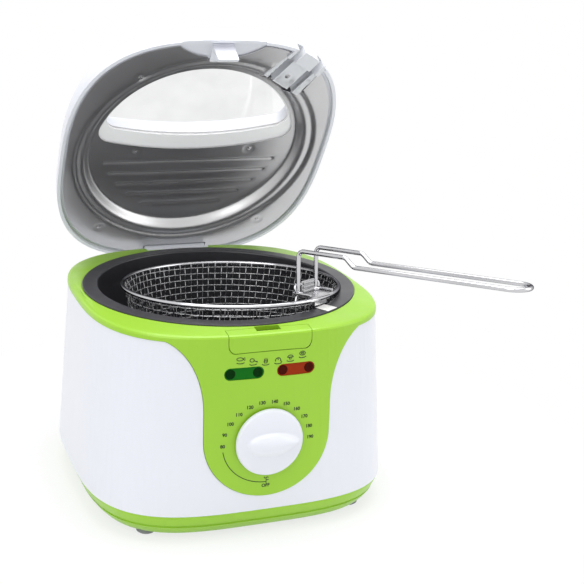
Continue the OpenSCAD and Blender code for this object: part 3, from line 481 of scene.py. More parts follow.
# ---------------------------------------------------------------- wire basket
def make_basket():
    """The woven cup from hoops, stakes and a crossed floor, and its rim wire."""
    # cell, wire radius and how far each wire weaves over and under the others
    pitch, wire, lift = 4.9, 0.45, 0.27
    r_top, r_low, depth, corner = 77.55, 71.5, 49.3, 5.0
    count, rings, top_gap, steps = 98, 11, 1.5, 4

    def wall(s):
        """Radius, height and outward normal at a distance s down the wall."""
        lean = math.atan2(r_top - r_low, depth - corner)
        straight = (depth - corner) / math.cos(lean)
        if s < straight:
            return r_top - s * math.sin(lean), -s * math.cos(lean), math.cos(lean), -math.sin(lean)
        a = min((s - straight) / corner, math.pi / 2 - lean)
        cx, cz = r_low - corner * math.cos(lean), -(depth - corner) + corner * math.sin(lean)
        nr, nz = math.cos(lean + a), -math.sin(lean + a)
        flat = max(0.0, s - straight - corner * (math.pi / 2 - lean))
        return cx + corner * nr - flat, cz + corner * nz, nr, nz

    hoops, stakes, cross = [], [], []
    for k in range(rings):
        s = top_gap + pitch * (k + 0.3)
        r, z, nr, nz = wall(s)
        pts = []
        for i in range(count * steps):
            t = 2 * math.pi * i / (count * steps)
            w = lift * math.cos(math.pi * (i / steps + k))
            waver = 0.25 * math.sin(3.1 * t + k)
            pts.append(((r + w * nr) * math.cos(t), (r + w * nr) * math.sin(t),
                        z + w * nz + waver))
        hoops.append(pts)
    for j in range(count):
        t = 2 * math.pi * (j + 0.08 * math.sin(j * 1.7)) / count
        pts = []
        for i in range(int((top_gap + pitch * (rings + 0.6)) / pitch * steps) + 1):
            s = i * pitch / steps
            r, z, nr, nz = wall(s)
            w = -lift * math.cos(math.pi * ((s - top_gap) / pitch - 0.3 + j))
            sway = 0.5 * pitch * s / 60 / r
            pts.append(((r + w * nr) * math.cos(t + sway), (r + w * nr) * math.sin(t + sway),
                        z + w * nz))
        stakes.append(pts)
    reach, floor = r_low - corner + 1.0, -depth + 0.1
    n = int(reach / pitch)
    for axis in (0, 1):
        for k in range(-n, n + 1):
            a = k * pitch + 0.4
            half = math.sqrt(max(0.0, reach * reach - a * a))
            m = max(4, int(2 * half / pitch * 3))
            pts = []
            for i in range(m + 1):
                b = -half + 2 * half * i / m
                w = lift * math.cos(math.pi * (b / pitch + k)) * (1 if axis else -1)
                pts.append((a, b, floor + w) if axis else (b, a, floor + w))
            if half > 4:
                cross.append(pts)
    wires("basket_mesh_hoops", hoops, wire, 5, "mesh_steel", "basket", ["basket_mesh"],
          BASKET, True)
    wires("basket_mesh_stakes", stakes, wire, 5, "mesh_steel", "basket", (), BASKET)
    wires("basket_mesh_floor", cross, wire, 4, "mesh_steel", "basket", (), BASKET)
    rim = [(x, y, 0) for x, y in ring(79.5, 160)]
    wires("basket_rim_wire", [rim], 1.5, 14, "chrome_wire", "basket", ["basket_rim"],
          BASKET, True)


def make_handle():
    """One wire: up from each side of the bracket, out, down at the jog and round the tip."""
    leg, gap, rise, length = 66.8, 21.5, 33.4, 169.0
    jog, drop, climb = leg + 38.8, 5.9, 0.0105
    h = gap / 2
    end = leg + length
    low = rise - drop
    tip_z = low + (end - h - jog - 6.3) * climb
    side = rounded([(leg, h, 2.7), (leg, h, rise), (jog - 0.2, h, rise), (jog + 6.6, h, low),
                    (end - h, h, tip_z)], [0, 4.2, 5, 5, 0], 10)
    turns = [math.pi * i / 20 for i in range(1, 20)]
    tip = [Vector((end - h + h * math.sin(a), h * math.cos(a), tip_z)) for a in turns]
    other = [Vector((p.x, -p.y, p.z)) for p in reversed(side)]
    wires("basket_handle_wire", [side + tip + other], 1.58, 16, "chrome_wire", "basket",
          ["basket_handle"], HANDLE)


# ---------------------------------------------------------------- plan outlines
def even_points(pts, count):
    """The same closed outline with its points evenly spaced."""
    pts = [Vector(p) for p in pts]
    pts.append(pts[0])
    run = [0.0]
    for a, b in zip(pts, pts[1:]):
        run.append(run[-1] + (b - a).length)
    out, k = [], 0
    for i in range(count):
        s = run[-1] * i / count
        while k < len(run) - 2 and run[k + 1] < s:
            k += 1
        d = run[k + 1] - run[k]
        out.append(tuple(pts[k].lerp(pts[k + 1], (s - run[k]) / d if d else 0)))
    return out


def squared_ring(a, b, n, cy, count):
    """A squared ellipse in plan, its points evenly spaced."""
    fine = []
    for i in range(count * 6):
        t = 2 * math.pi * i / (count * 6)
        c, s = math.cos(t), math.sin(t)
        fine.append((a * math.copysign(abs(c) ** (2 / n), c),
                     cy + b * math.copysign(abs(s) ** (2 / n), s)))
    return even_points(fine, count)


def round_corners(pts, radii, n):
    """A closed plan outline with its corners rounded."""
    pts = [Vector((x, y, 0)) for x, y in pts]
    out = []
    for i, b in enumerate(pts):
        a, c = pts[i - 1], pts[(i + 1) % len(pts)]
        out.extend(tuple(p[:2]) for p in rounded([(a + b) / 2, b, (b + c) / 2],
                                                 [0, radii[i], 0], n)[1:-1])
    return out


def in_outline(p, poly):
    """Whether a point lies inside a closed outline."""
    x, y = p
    hit = False
    for (x0, y0), (x1, y1) in zip(poly, poly[1:] + poly[:1]):
        if (y0 > y) != (y1 > y) and x < (x1 - x0) * (y - y0) / (y1 - y0) + x0:
            hit = not hit
    return hit


def edge_distance(p, poly):
    """Distance from a point to a closed outline."""
    best = 1e9
    for (ax, ay), (bx, by) in zip(poly, poly[1:] + poly[:1]):
        dx, dy = bx - ax, by - ay
        t = ((p[0] - ax) * dx + (p[1] - ay) * dy) / max(dx * dx + dy * dy, 1e-12)
        t = max(0.0, min(1.0, t))
        best = min(best, math.hypot(p[0] - ax - dx * t, p[1] - ay - dy * t))
    return best


def smoothstep(a, b, x):
    """0 below a, 1 above b and an even rise between."""
    t = max(0.0, min(1.0, (x - a) / (b - a)))
    return t * t * (3 - 2 * t)


# ---------------------------------------------------------------- lid liner
# heights of the sheet's edge, its land and its raised panel, and the radii where they change
LINER_Z, LAND_Z, PANEL_Z = RIM_Z + 1, RIM_Z + 3, RIM_Z + 11
LINER_T = 0.8
PANEL_R, STEP_R = 82.5, 94.0
RIBS = [16 + 11.7 * k for k in range(5)]
RIB_W = 2.6
PANEL_SCREWS = [(-45.8, 5), (45.8, 5)]
EDGE_SCREWS = [(-55.4, -77.6), (-66.5, 77.4), (66.5, 77.4)]


def rib_half(y):
    """Half the length of the rib at y."""
    return math.sqrt(PANEL_R * PANEL_R - y * y) - 8.8 - 0.18 * y


def window_outline(edge_y):
    """A circle closed at the back by a shallow arc, both as points of one outline."""
    r, mid = PANEL_R - 3.5, 2.0
    far_r = 260.0
    far_mid = edge_y - far_r
    d = mid - far_mid
    # where the two circles cross
    y = (d * d + far_r * far_r - r * r) / (2 * d) + far_mid
    x = math.sqrt(max(far_r * far_r - (y - far_mid) ** 2, 0.0))
    a0, a1 = math.atan2(y - mid, x), math.atan2(y - far_mid, x)
    pts = []
    for k in range(61):
        a = a0 - (2 * a0 + math.pi) * k / 60
        pts.append((r * math.cos(a), mid + r * math.sin(a)))
    for k in range(1, 30):
        a = (math.pi - a1) + (2 * a1 - math.pi) * k / 30
        pts.append((far_r * math.cos(a), far_mid + far_r * math.sin(a)))
    return pts


def liner_height(x, y):
    """Height of the pressed sheet's underside at a point of its plan."""
    r = math.hypot(x, y)
    # raised panel with its rounded shoulder, the land and the outer step
    land_r = PANEL_R + 7
    if r < land_r:
        z = PANEL_Z - (PANEL_Z - LAND_Z) * smoothstep(PANEL_R - 1.2, PANEL_R + 5.4, r)
    elif r < STEP_R - 1:
        z = LAND_Z + 0.35 * math.sin(math.pi * (r - land_r) / (STEP_R - land_r)) ** 2
    else:
        z = LAND_Z
    if r > STEP_R - 1.1:
        z = LAND_Z - (LAND_Z - LINER_Z) * smoothstep(STEP_R - 1.1, STEP_R + 1.3, r)
    for ry in RIBS:
        dx = max(0.0, abs(x) - rib_half(ry) + 1.6)
        d = math.hypot(dx, y - ry)
        if d < RIB_W:
            z += 0.85 * (0.5 + 0.5 * math.cos(math.pi * d / RIB_W))
    for screws, rise, end in ((PANEL_SCREWS, 0.35, 6.2), (EDGE_SCREWS, 0.25, 5.6)):
        for sx, sy in screws:
            z += rise * (1 - smoothstep(3.0, end, math.hypot(x - sx, y - sy)))
    return z


def liner_points():
    """Points that the sheet's mesh needs: at its bends, ribs and screws, and a plain grid."""
    bends = [PANEL_R + d for d in (-3, -1.4, -0.4, 0.6, 1.6, 2.6, 3.6, 4.6, 5.6, 7, 8.5)]
    bends += [STEP_R + d for d in (-1.2, -0.7, -0.1, 0.5, 1.3, 2.4)]
    pts, around = [], 300
    for k, r in enumerate(bends):
        for i in range(around):
            a = 2 * math.pi * (i + 0.5 * (k % 2)) / around
            pts.append((r * math.cos(a), r * math.sin(a)))
    for ry in RIBS:
        half = rib_half(ry)
        n = int(half * 2 / 2.2)
        for d in (0, 0.65, 1.3, 1.95, RIB_W):
            for i in range(n + 1):
                x = -half + 1.6 + (2 * half - 3.2) * i / n
                pts.append((x, ry + d))
                if d:
                    pts.append((x, ry - d))
            m = 1 if d == 0 else 9
            for s in (-1, 1):
                for i in range(m):
                    a = math.pi * (i + 0.5) / m - math.pi / 2
                    pts.append((s * (half - 1.6 + d * math.cos(a)), ry + d * math.sin(a)))
    for sx, sy in PANEL_SCREWS + EDGE_SCREWS:
        for r in (1.8, 3.3, 4.2, 5.0, 5.8, 6.6):
            pts += ring(r, 24, sx, sy)
    for i in range(-26, 27):
        for j in range(-28, 29):
            pts.append((i * 4.0 + 0.3 * (j % 2), j * 4.0))
    return pts


def make_liner():
    """The pressed steel sheet: one height field with its openings cut out."""
    lid_edge = squared_ring(100.25, 108.75, 2.82, 1.5, 260)
    dip = [(31.5, -132.0), (31.5, -105.6), (28, -102.9), (23, -100.2), (17, -97.6), (9.4, -96.2),
           (9.2, -92.4)]
    dip += [(-x, y) for x, y in reversed(dip)]
    dip_bends = [0, 4, 3, 3, 3, 1.5, 1]
    back = [(-26.6, 130.0), (-26.6, 102.7), (26.6, 102.7), (26.6, 130.0)]
    # the port's bite, with two notches where the handle's wires pass
    port = [ALONG @ Vector((89 + x, y, 0)) for x, y in
            [(-3.15, -16.55), (-3.15, -12.85), (-9.2, -12.85), (-9.2, -6.85), (-3.15, -6.85),
             (-3.15, 8.65), (-9.2, 8.65), (-9.2, 14.65), (-3.15, 14.65), (-3.15, 20.35),
             (23, 18.35), (60, 18.35), (60, -15.55), (18, -15.55)]]
    cuts = [round_corners(dip, dip_bends + dip_bends[::-1], 5),
            round_corners(back, [0, 1.5, 1.5, 0], 4),
            round_corners([(p.x, p.y) for p in port],
                          [2, 0.8, 1.5, 1.5, 0.8, 0.8, 1.5, 1.5, 0.8, 2, 2, 0, 0, 2], 5)]
    outline = bite(lid_edge, cuts)
    window = soften(window_outline(3.0), 11.0)
    verts, edges = [], []
    for loop in (outline, window):
        base, n = len(verts), len(loop)
        verts += [Vector(p) for p in loop]
        edges += [(base + i, base + (i + 1) % n) for i in range(n)]
    # no point nearer than half a millimetre to another or to an edge
    near, seen = 0.5, set()
    for p in liner_points():
        key = (round(p[0] / near), round(p[1] / near))
        if key in seen or not in_outline(p, outline) or in_outline(p, window):
            continue
        if edge_distance(p, outline) < near or edge_distance(p, window) < near:
            continue
        seen.add(key)
        verts.append(Vector(p))
    out = geometry.delaunay_2d_cdt(verts, edges, [], 0, 1e-4, False)
    plan, faces = out[0], []
    for f in out[2]:
        c = sum((plan[i] for i in f), Vector((0, 0))) / len(f)
        if in_outline(c, outline) and not in_outline(c, window):
            faces.append(tuple(f))
    sheet = [OPEN @ Vector((v.x, v.y, liner_height(v.x, v.y))) for v in plan]
    o = add_object("lid_liner_sheet", sheet, faces, "liner_steel", "lid", ["lid_liner"])
    thick = o.modifiers.new("sheet", "SOLIDIFY")
    thick.thickness = LINER_T * MM
    thick.offset = -1.0
    settle(o)
    smooth(o, 40)


def soften(poly, radius):
    """Rounds the two sharp corners of a finely stepped outline."""
    n = len(poly)
    pts = [Vector(p) for p in poly]
    turn = []
    for i in range(n):
        a, b = pts[i] - pts[i - 1], pts[(i + 1) % n] - pts[i]
        turn.append(a.angle(b) if a.length > 1e-6 and b.length > 1e-6 else 0)
    corners = sorted(range(n), key=lambda i: -turn[i])[:2]
    out = list(pts)
    for c in sorted(corners, reverse=True):
        # walk away from the corner on both sides until an arc of the radius fits
        i, j, reach = c, c, radius / math.tan((math.pi - turn[c]) / 2)
        while (pts[i] - pts[c]).length < reach:
            i -= 1
        while (pts[j % n] - pts[c]).length < reach:
            j += 1
        p0, p2, p1 = pts[i], pts[j % n], pts[c]
        # the corner draws the bend out, and a small share of its chord holds it back
        arc = []
        for k in range(1, 16):
            t = k / 16
            arc.append(p0 * (1 - t) ** 2 + p1 * 2 * t * (1 - t) * 0.92 + p2 * t * t
                       + (p0 + p2) / 2 * (2 * t * (1 - t) * 0.08))
        drop = {k % n for k in range(i + 1, j)}
        if i < 0:
            out = [p for k, p in enumerate(out) if k not in drop] + arc
        else:
            out = out[:i + 1] + arc + out[j:]
    return [tuple(p) for p in out]


def bite(edge, cuts):
    """A closed outline with parts of closed cutters taken out of it, all counterclockwise."""
    poly = list(edge)
    for cut in cuts:
        area = sum(a[0] * b[1] - b[0] * a[1] for a, b in zip(cut, cut[1:] + cut[:1]))
        c = list(cut) if area > 0 else list(reversed(cut))
        # the outline's points outside the cutter, from where it leaves the cutter
        free = [not in_outline(p, c) for p in poly]
        start = next(i for i in range(len(poly)) if free[i] and not free[i - 1])
        order = [(start + k) % len(poly) for k in range(len(poly))]
        run = [poly[i] for i in order if free[i]]
        # the cutter's points inside the outline, which are walked backwards
        inside = [in_outline(p, poly) for p in c]
        start = next(i for i in range(len(c)) if inside[i] and not inside[i - 1])
        order = [(start + k) % len(c) for k in range(len(c))]
        part = [c[i] for i in order if inside[i]]
        enter = cross_at(run[-1], part[-1], poly, c)
        leave = cross_at(run[0], part[0], poly, c)
        poly = run + [enter] + list(reversed(part)) + [leave]
    return poly


def cross_at(outer, inner, poly, cutter):
    """Where an outline crosses a cutter, nearest to the outline's last free point."""
    a, b = Vector(outer), Vector(inner)
    best, at = 1e9, (a + b) / 2
    for p0, p1 in zip(poly, poly[1:] + poly[:1]):
        for q0, q1 in zip(cutter, cutter[1:] + cutter[:1]):
            # edges whose ends are this far apart don't meet
            if abs(p0[0] - q0[0]) > 30 or abs(p0[1] - q0[1]) > 40:
                continue
            hit = geometry.intersect_line_line_2d(Vector(p0), Vector(p1), Vector(q0), Vector(q1))
            if hit and (hit - a).length < best:
                best, at = (hit - a).length, hit
    return tuple(at)


# ---------------------------------------------------------------- control panel
DIAL_Z = 71.4
LAMP_X, LAMP_Z, LAMP_L, LAMP_H = 18.3, 121.0, 27.5, 8.6
# half width and height of the ring of numbers, and how far its middle is off the dial's
SCALE_X, SCALE_UP, SCALE_MID = 31.4, 28.9, -0.9


def skin_of(*names):
    """The outer surfaces of some nodes, to lay marks on."""
    verts, faces = [], []
    for name in names:
        o, base = nodes[name], len(verts)
        verts += [o.matrix_world @ v.co for v in o.data.vertices]
        faces += [tuple(base + i for i in p.vertices) for p in o.data.polygons]
    return BVHTree.FromPolygons(verts, faces)


def on_front(skin, x, z, lift=0.0):
    """The point in front of x and z that lies on a skin, or lift above it."""
    at, normal = skin.ray_cast(Vector((x * MM, -0.3, z * MM)), Vector((0, 1, 0)))[:2]
    return at / MM + normal * lift


def lettering(text, size):
    """Vertices and faces of printed characters, thick and bold enough to read, centred."""
    c = bpy.data.curves.new("characters", "FONT")
    c.body, c.size, c.extrude, c.offset = text, size, 0.08, 0.09
    c.align_x, c.align_y, c.resolution_u = "CENTER", "CENTER", 3
    o = bpy.data.objects.new("characters", c)
    scene.collection.objects.link(o)
    me = bpy.data.meshes.new_from_object(o.evaluated_get(bpy.context.evaluated_depsgraph_get()))
    made = [v.co.copy() for v in me.vertices], [tuple(p.vertices) for p in me.polygons]
    bpy.data.objects.remove(o)
    bpy.data.curves.remove(c)
    bpy.data.meshes.remove(me)
    return made


def ring_points(cx, cy, rx, ry, a0=0, a1=360, n=12):
    """Points of an ellipse from one angle to another, in degrees."""
    turns = [math.radians(a0 + (a1 - a0) * k / n) for k in range(n + 1)]
    return [(cx + rx * math.cos(a), cy + ry * math.sin(a)) for a in turns]


def make_scale():
    """The dial's numbers, its unit and off marks, and the arc that joins them."""
    skin = skin_of("top_bezel", "body_shell")
    soup = Soup()
    labels = [(str(80 + 10 * k), SCALE_X * math.cos(math.pi * (1 - k / 11)),
               SCALE_UP * math.sin(math.pi * (1 - k / 11))) for k in range(12)]
    labels += [("°C", 0.0, -26.8), ("OFF", -0.3, -31.6)]
    for text, across, up in labels:
        x, z = SCALE_MID + across, DIAL_Z + SCALE_MID + up
        verts, faces = lettering(text, 3.3)
        base = len(soup.v)
        soup.v += [on_front(skin, x + v.x, z + v.y, 0.06 + v.z) for v in verts]
        soup.f += [tuple(base + i for i in f) for f in faces]
    add_object("dial_scale_marks", soup.v, soup.f, "print_ink", "housing")
    arc = [on_front(skin, SCALE_MID + x, DIAL_Z + SCALE_MID + z)
           for x, z in ring_points(0, 0, SCALE_X, SCALE_UP, 188, 270, 40)]
    tick = [on_front(skin, SCALE_MID, DIAL_Z + SCALE_MID - SCALE_UP + z) for z in (1.1, 0, -1.1)]
    wires("dial_scale_arc", [arc, tick], 0.27, 6, "print_ink", "housing")


def make_icons():
    """Six small line drawings of food, each over a plate."""
    skin = skin_of("top_bezel", "body_shell")
    food = [
        # fish, drumstick, chips, prawn, mushroom, onion ring
        [ring_points(-0.4, 1.2, 2.2, 1.1), [(1.6, 1.2), (3.0, 2.2), (3.0, 0.2), (1.6, 1.2)]],
        [ring_points(-0.8, 1.4, 1.5, 1.2), [(0.6, 1.0), (2.6, 0.2)], [(2.6, 0.8), (2.9, -0.2)]],
        [[(-1.3, 1.2), (-0.9, -0.4), (0.9, -0.4), (1.3, 1.2)], [(-0.7, 0.6), (-1.0, 2.6)],
         [(0.0, 0.6), (0.1, 2.9)], [(0.7, 0.6), (1.2, 2.5)]],
        [ring_points(0, 0.6, 1.9, 1.7, -20, 200), [(1.8, 0.0), (2.7, -0.5)],
         [(-0.2, 2.2), (0.1, 0.9)]],
        [ring_points(0, 1.0, 2.0, 1.5, 0, 180), [(-2.0, 1.0), (2.0, 1.0)],
         [(-0.5, 1.0), (-0.6, -0.4), (0.6, -0.4), (0.5, 1.0)]],
        [ring_points(0, 1.2, 2.1, 1.4), ring_points(0, 1.2, 0.9, 0.6)],
    ]
    plate = [(-2.6, -1.3), (-1.2, -1.9), (1.2, -1.9), (2.6, -1.3)]
    strokes = []
    for k, icon in enumerate(food):
        # the row bows up a little toward its ends
        x0 = 0.7 + 8.75 * (k - 2.5)
        z0 = 127.6 + 2.4 * (x0 / 21) ** 2
        for stroke in icon + [plate]:
            strokes.append([on_front(skin, x0 + x, z0 + z) for x, z in stroke])
    wires("panel_food_icons", strokes, 0.29, 5, "print_ink", "housing")


def make_lamp_ends():
    """The dark round seats at both ends of each lamp's lens."""
    for side, name, mat in ((-1, "green_lens", "green_deep"), (1, "red_lens", "red_deep")):
        skin = skin_of(name)
        soup = Soup()
        for end in (-1, 1):
            x0 = side * LAMP_X + end * (LAMP_L - LAMP_H) / 2
            soup.grid([[on_front(skin, x, z, lift) for x, z in ring(r, 32, x0, LAMP_Z)]
                       for r, lift in ((3.4, -0.3), (3.4, 0.1), (3.1, 0.25), (2.2, 0.25),
                                       (1.9, 0.1))])
        add_object(name + "_seats", soup.v, soup.f, mat, "housing", angle=40)


def make_knob():
    """Turned knob with a leaf-shaped grip that swells out of its face."""
    # radius and height of the rounded edge up to the crown
    edge = [(23.8, 0.4), (23.8, 1.8), (23.65, 2.5), (23.2, 3.1), (22.4, 3.6), (21.3, 3.9)]
    crown_r, seg, rings = edge[-1][0], 120, 36
    back_y = max(v.co.y for v in nodes["dial_knob"].data.vertices) / MM

    def height(x, z):
        """Height of the crown and its grip, which has a blunt end and a pointed one."""
        dome = 6.6 - 2.7 * (math.hypot(x, z) / crown_r) ** 2.4
        t = (x - 1.6) / (20.6 if x > 1.6 else 18.6)
        if abs(t) >= 1:
            return dome
        half = 8.4 * (1 - abs(t) ** (1.7 if t > 0 else 3.2)) ** (0.9 if t > 0 else 0.6)
        side = abs(z) / max(half, 1e-3)
        if side >= 1:
            return dome
        crest = 4.8 * (1 - abs(t) ** 3.0) ** 0.7
        return dome + crest * (1 - side ** 2.2) ** 0.8 * smoothstep(0, 1.6, half)

    rows = [[(x, z, h) for x, z in ring(r, seg)] for r, h in edge]
    for k in range(1, rings):
        rows.append([(x, z, height(x, z)) for x, z in ring(crown_r * (1 - k / rings), seg)])
    soup = Soup()
    soup.grid([[(x, back_y - h, DIAL_Z + z) for x, z, h in row] for row in rows])
    add_object("dial_knob_skin", soup.v, soup.f, "white_shell", "dial", ["dial_knob"],
               angle=50)


# ---------------------------------------------------------------- small parts of the lid
def blocks(name, boxes, place, mat, body, edge, replaced=()):
    """Blocks from their low and high corners, with rounded edges."""
    soup = Soup()
    for (x0, y0, z0), (x1, y1, z1) in boxes:
        soup.grid([[(x0, y0, z), (x1, y0, z), (x1, y1, z), (x0, y1, z)] for z in (z0, z1)])
    o = add_object(name, [place @ p for p in soup.v], soup.f, mat, body, replaced)
    rounding = o.modifiers.new("rounding", "BEVEL")
    rounding.width, rounding.segments = edge * MM, 3
    settle(o)
    smooth(o, 40)


def make_drain_strip():
    """The bright strip on the flange that the hanging basket's lip stands over."""
    blocks("drain_strip", [((88.6, -7.4, RIM_Z), (99.6, 3.6, RIM_Z + 0.4))],
           ALONG, "strip_steel", "housing", 0.15, ["drain_rest"])


def make_port_bands():
    """The three plain bands of the port's insert, with the handle's channels between them."""
    bands = [(-16.1, -12.85), (-6.85, 8.65), (14.65, 19.6)]
    blocks("handle_port_bands",
           [((86.3, a, LINER_Z), (108.3, b, LINER_Z + 4)) for a, b in bands],
           OPEN @ ALONG, "grey_plastic", "lid", 0.5)


def make_hinge_lugs():
    """The two lugs that hold the liner at its hinge."""
    blocks("liner_hinge_lugs",
           [((x - 2, 95.5, LINER_Z - 0.55), (x + 2, 103.4, LINER_Z + 0.6)) for x in (-23.3, 23.3)],
           OPEN, "bright_steel", "lid", 0.25)


def rib_tree():
    """Equal bars on points, as a pressed plate's ribs."""
    g, have, give = new_tree("ribs_on_points", [
        ("Radius", "NodeSocketFloat"), ("Length", "NodeSocketFloat")])
    bar = add_node(g, "GeometryNodeMeshCylinder",
                   {"Vertices": 20, "Radius": have["Radius"], "Depth": have["Length"]})["Mesh"]
    lying = add_node(g, "GeometryNodeTransform",
                     {"Geometry": bar, "Rotation": (math.pi / 2, 0, 0)})["Geometry"]
    ribs = add_node(g, "GeometryNodeInstanceOnPoints",
                    {"Points": have["Geometry"], "Instance": lying})["Instances"]
    return finish_tree(g, ribs, have, give)


def make_bracket():
    """Ribbed plate between the handle's legs, with a wire loop beside each leg."""
    leg, half_gap, low = 67.4, 10.75, -6.2
    o = bare_object("bracket_ribs", [(leg, 0, low + 1.4 + 2.9 * k) for k in range(6)])
    run_tree(o, rib_tree(), {"Radius": 1.35 * MM, "Length": 13.0 * MM,
                             "Material": MATS["mesh_steel"]})
    o.data.transform(scaled(HANDLE))
    smooth(o, 40)
    finish_piece(o, "basket")
    blocks("bracket_plate", [((leg - 0.6, -7.4, low - 0.6), (leg + 0.6, 7.4, low + 17.6))],
           HANDLE, "mesh_steel", "basket", 0.4)
    loops = []
    for s in (-1, 1):
        y = s * half_gap
        loops.append(rounded([(leg, s * 6.6, low + 15.6), (leg - 2.6, y, low + 16.2),
                              (leg - 0.4, y + s * 4.2, low + 14), (leg, y + s * 2.2, low + 8),
                              (leg + 0.4, y + s * 4.4, low + 2), (leg + 1.6, y, low - 2.4),
                              (leg, s * 6.6, low)], [0, 2, 2.5, 3, 2.5, 2, 0], 6))
    wires("bracket_loops", loops, 0.85, 10, "chrome_wire", "basket", (), HANDLE)


def screw_tree():
    """Domed cross-head screws on points, their heads facing down."""
    g, have, give = new_tree("screws_on_points", [
        ("Radius", "NodeSocketFloat"), ("Rise", "NodeSocketFloat"),
        ("Slot Length", "NodeSocketFloat"), ("Slot Width", "NodeSocketFloat")])
    ball = add_node(g, "GeometryNodeMeshUVSphere",
                    {"Segments": 48, "Rings": 28, "Radius": have["Radius"]})["Mesh"]
    flat = calc(g, "DIVIDE", have["Rise"], have["Radius"])
    size = add_node(g, "ShaderNodeCombineXYZ", {"X": 1.0, "Y": 1.0, "Z": flat})["Vector"]
    dome = add_node(g, "GeometryNodeTransform", {"Geometry": ball, "Scale": size})["Geometry"]
    # points of the dome inside the cross are pushed in
    at = add_node(g, "ShaderNodeSeparateXYZ",
                  {"Vector": add_node(g, "GeometryNodeInputPosition")["Position"]})
    x, y = calc(g, "ABSOLUTE", at["X"]), calc(g, "ABSOLUTE", at["Y"])
    half_long = calc(g, "MULTIPLY", have["Slot Length"], 0.5)
    half_wide = calc(g, "MULTIPLY", have["Slot Width"], 0.5)
    arms = [calc(g, "MULTIPLY", calc(g, "LESS_THAN", a, half_long),
                 calc(g, "LESS_THAN", b, half_wide)) for a, b in ((x, y), (y, x))]
    inside = calc(g, "MULTIPLY", calc(g, "MAXIMUM", *arms), calc(g, "LESS_THAN", at["Z"], 0.0))
    push = calc(g, "MULTIPLY", inside, calc(g, "MULTIPLY", have["Rise"], 0.5))
    offset = add_node(g, "ShaderNodeCombineXYZ", {"Z": push})["Vector"]
    head = add_node(g, "GeometryNodeSetPosition", {"Geometry": dome, "Offset": offset})["Geometry"]
    turn = add_node(g, "FunctionNodeRandomValue", {"Seed": 5}, data_type="FLOAT_VECTOR")[0]
    turn.node.inputs[0].default_value = (0, 0, 0)
    turn.node.inputs[1].default_value = (0, 0, 1.5)
    heads = add_node(g, "GeometryNodeInstanceOnPoints",
                     {"Points": have["Geometry"], "Instance": head, "Rotation": turn})["Instances"]
    return finish_tree(g, heads, have, give)


def make_lid_screws():
    """The heads of the screws that hold the liner; the port's own is sunk a little."""
    x, y = EDGE_SCREWS[0]
    at = [(x, y, LINER_Z), (-x, y, LINER_Z + 0.25)]
    at += [(x, y, LINER_Z) for x, y in EDGE_SCREWS[1:]]
    at += [(x, y, PANEL_Z) for x, y in PANEL_SCREWS]
    o = bare_object("lid_screw_heads", at)
    run_tree(o, screw_tree(), {"Radius": 2.3 * MM, "Rise": 0.75 * MM, "Slot Length": 2.6 * MM,
                               "Slot Width": 0.6 * MM, "Material": MATS["bright_steel"]})
    o.data.transform(scaled(OPEN))
    smooth(o, 40)
    finish_piece(o, "lid", ["lid_screws"])


# ---------------------------------------------------------------- pieces
make_basket()
make_handle()
make_liner()
make_scale()
make_icons()
make_lamp_ends()
make_knob()
make_port_bands()
make_lid_screws()
make_hinge_lugs()
make_bracket()
make_drain_strip()


# ---------------------------------------------------------------- camera, floor and light
def make_camera():
    """A camera in front, a little to the left and looking down on the fryer."""
    yaw, pitch, roll = (math.radians(a) for a in (21.92, 16.875, 2.495))
    focal, frame_width = 1200.5, 584
    forward = Vector((math.sin(yaw) * math.cos(pitch), math.cos(yaw) * math.cos(pitch),
                      -math.sin(pitch)))
    right = Vector((math.cos(yaw), -math.sin(yaw), 0))
    up = right.cross(forward)
    r = math.cos(roll) * right + math.sin(roll) * up
    u = -math.sin(roll) * right + math.cos(roll) * up
    cam = bpy.data.objects.new("camera", bpy.data.cameras.new("camera"))
    scene.collection.objects.link(cam)
    m = Matrix((r, u, -forward)).transposed().to_4x4()
    m.translation = Vector((-267.87, -810.77, 403.22)) * MM
    cam.matrix_world = m
    cam.data.sensor_width = 36
    cam.data.lens = 36 * focal / frame_width
    cam.data.clip_start, cam.data.clip_end = 0.05, 40
    scene.camera = cam


def area_light(name, at, target, size, power):
    """A soft white lamp of size metres that faces its target."""
    d = bpy.data.lights.new(name, "AREA")
    d.shape = "RECTANGLE"
    d.size, d.size_y = size
    d.energy = power
    o = bpy.data.objects.new(name, d)
    scene.collection.objects.link(o)
    o.location = at
    o.rotation_euler = (Vector(target) - Vector(at)).to_track_quat("-Z", "Y").to_euler()


def seen_directly(t):
    """1 for rays from the camera, a reflection or a clear piece, 0 for diffuse light."""
    path = t.nodes.new("ShaderNodeLightPath").outputs
    fac = path["Is Camera Ray"]
    for label in ("Is Glossy Ray", "Is Transmission Ray"):
        fac = calc(t, "MAXIMUM", fac, path[label])
    return fac


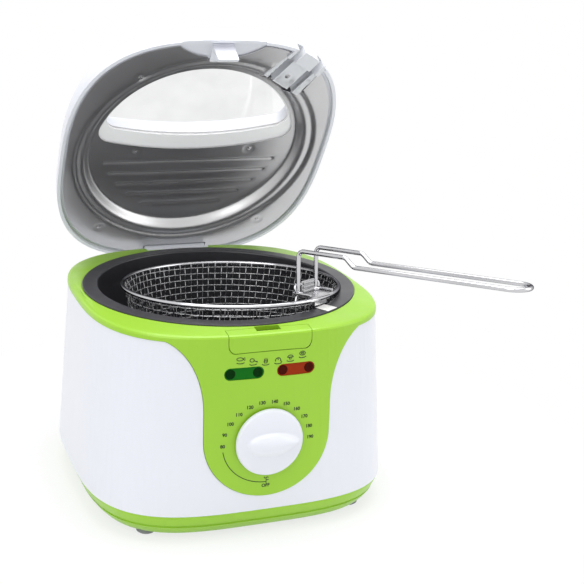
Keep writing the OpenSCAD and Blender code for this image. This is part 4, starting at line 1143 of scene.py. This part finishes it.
def make_floor():
    """White ground that keeps a faint shadow near the fryer and is plain white farther out."""
    s = 6000
    o = bare_object("floor", [(-s, -s, 0), (s, -s, 0), (s, s, 0), (-s, s, 0)], (), [(0, 1, 2, 3)])
    m, t, p = new_material("floor_white")
    surface(t, p, SKIN, {"Base": (0.9, 0.9, 0.9), "Shade": (0.88, 0.88, 0.88), "Drift": 3.0,
                         "Gloss": 0.85, "Matt": 0.95, "Peel": 0.0})
    p.inputs["Specular IOR Level"].default_value = 0.1
    far = t.nodes.new("ShaderNodeVectorMath")
    far.operation = "LENGTH"
    t.links.new(t.nodes.new("ShaderNodeTexCoord").outputs["Object"], far.inputs[0])
    # how plain the white is at 0.14 m and at 0.32 m from the middle
    fade = spread(t, far.outputs["Value"], 0.75, 1.0, 0.14, 0.32)
    plain = t.nodes.new("ShaderNodeEmission")
    mix = t.nodes.new("ShaderNodeMixShader")
    t.links.new(calc(t, "MULTIPLY", fade, seen_directly(t)), mix.inputs["Fac"])
    t.links.new(p.outputs[0], mix.inputs[1])
    t.links.new(plain.outputs[0], mix.inputs[2])
    t.links.new(mix.outputs[0], t.nodes["Material Output"].inputs["Surface"])
    o.data.materials.append(m)


def make_world():
    """Soft cool light on the fryer, and plain white where the room itself is seen."""
    w = bpy.data.worlds.new("studio")
    w.use_nodes = True
    scene.world = w
    t = w.node_tree
    t.nodes.clear()
    out = t.nodes.new("ShaderNodeOutputWorld")
    mix = t.nodes.new("ShaderNodeMixShader")
    t.links.new(seen_directly(t), mix.inputs["Fac"])
    for k, colour, strength in ((1, (0.93, 0.95, 1.0, 1), 0.5), (2, (1, 1, 1, 1), 1.0)):
        light = t.nodes.new("ShaderNodeBackground")
        light.inputs["Color"].default_value = colour
        light.inputs["Strength"].default_value = strength
        t.links.new(light.outputs[0], mix.inputs[k])
    t.links.new(mix.outputs[0], out.inputs["Surface"])


make_camera()
make_floor()
make_world()
area_light("key", (-1.3, -0.95, 1.5), (0, 0, 0.12), (1.4, 1.4), 13.5)
area_light("top", (0.1, 0.1, 1.8), (0, 0, 0.1), (1.6, 1.6), 29)
area_light("side", (1.5, -0.7, 0.8), (0, 0, 0.12), (1.0, 1.4), 6)
scene.view_settings.view_transform = "Standard"
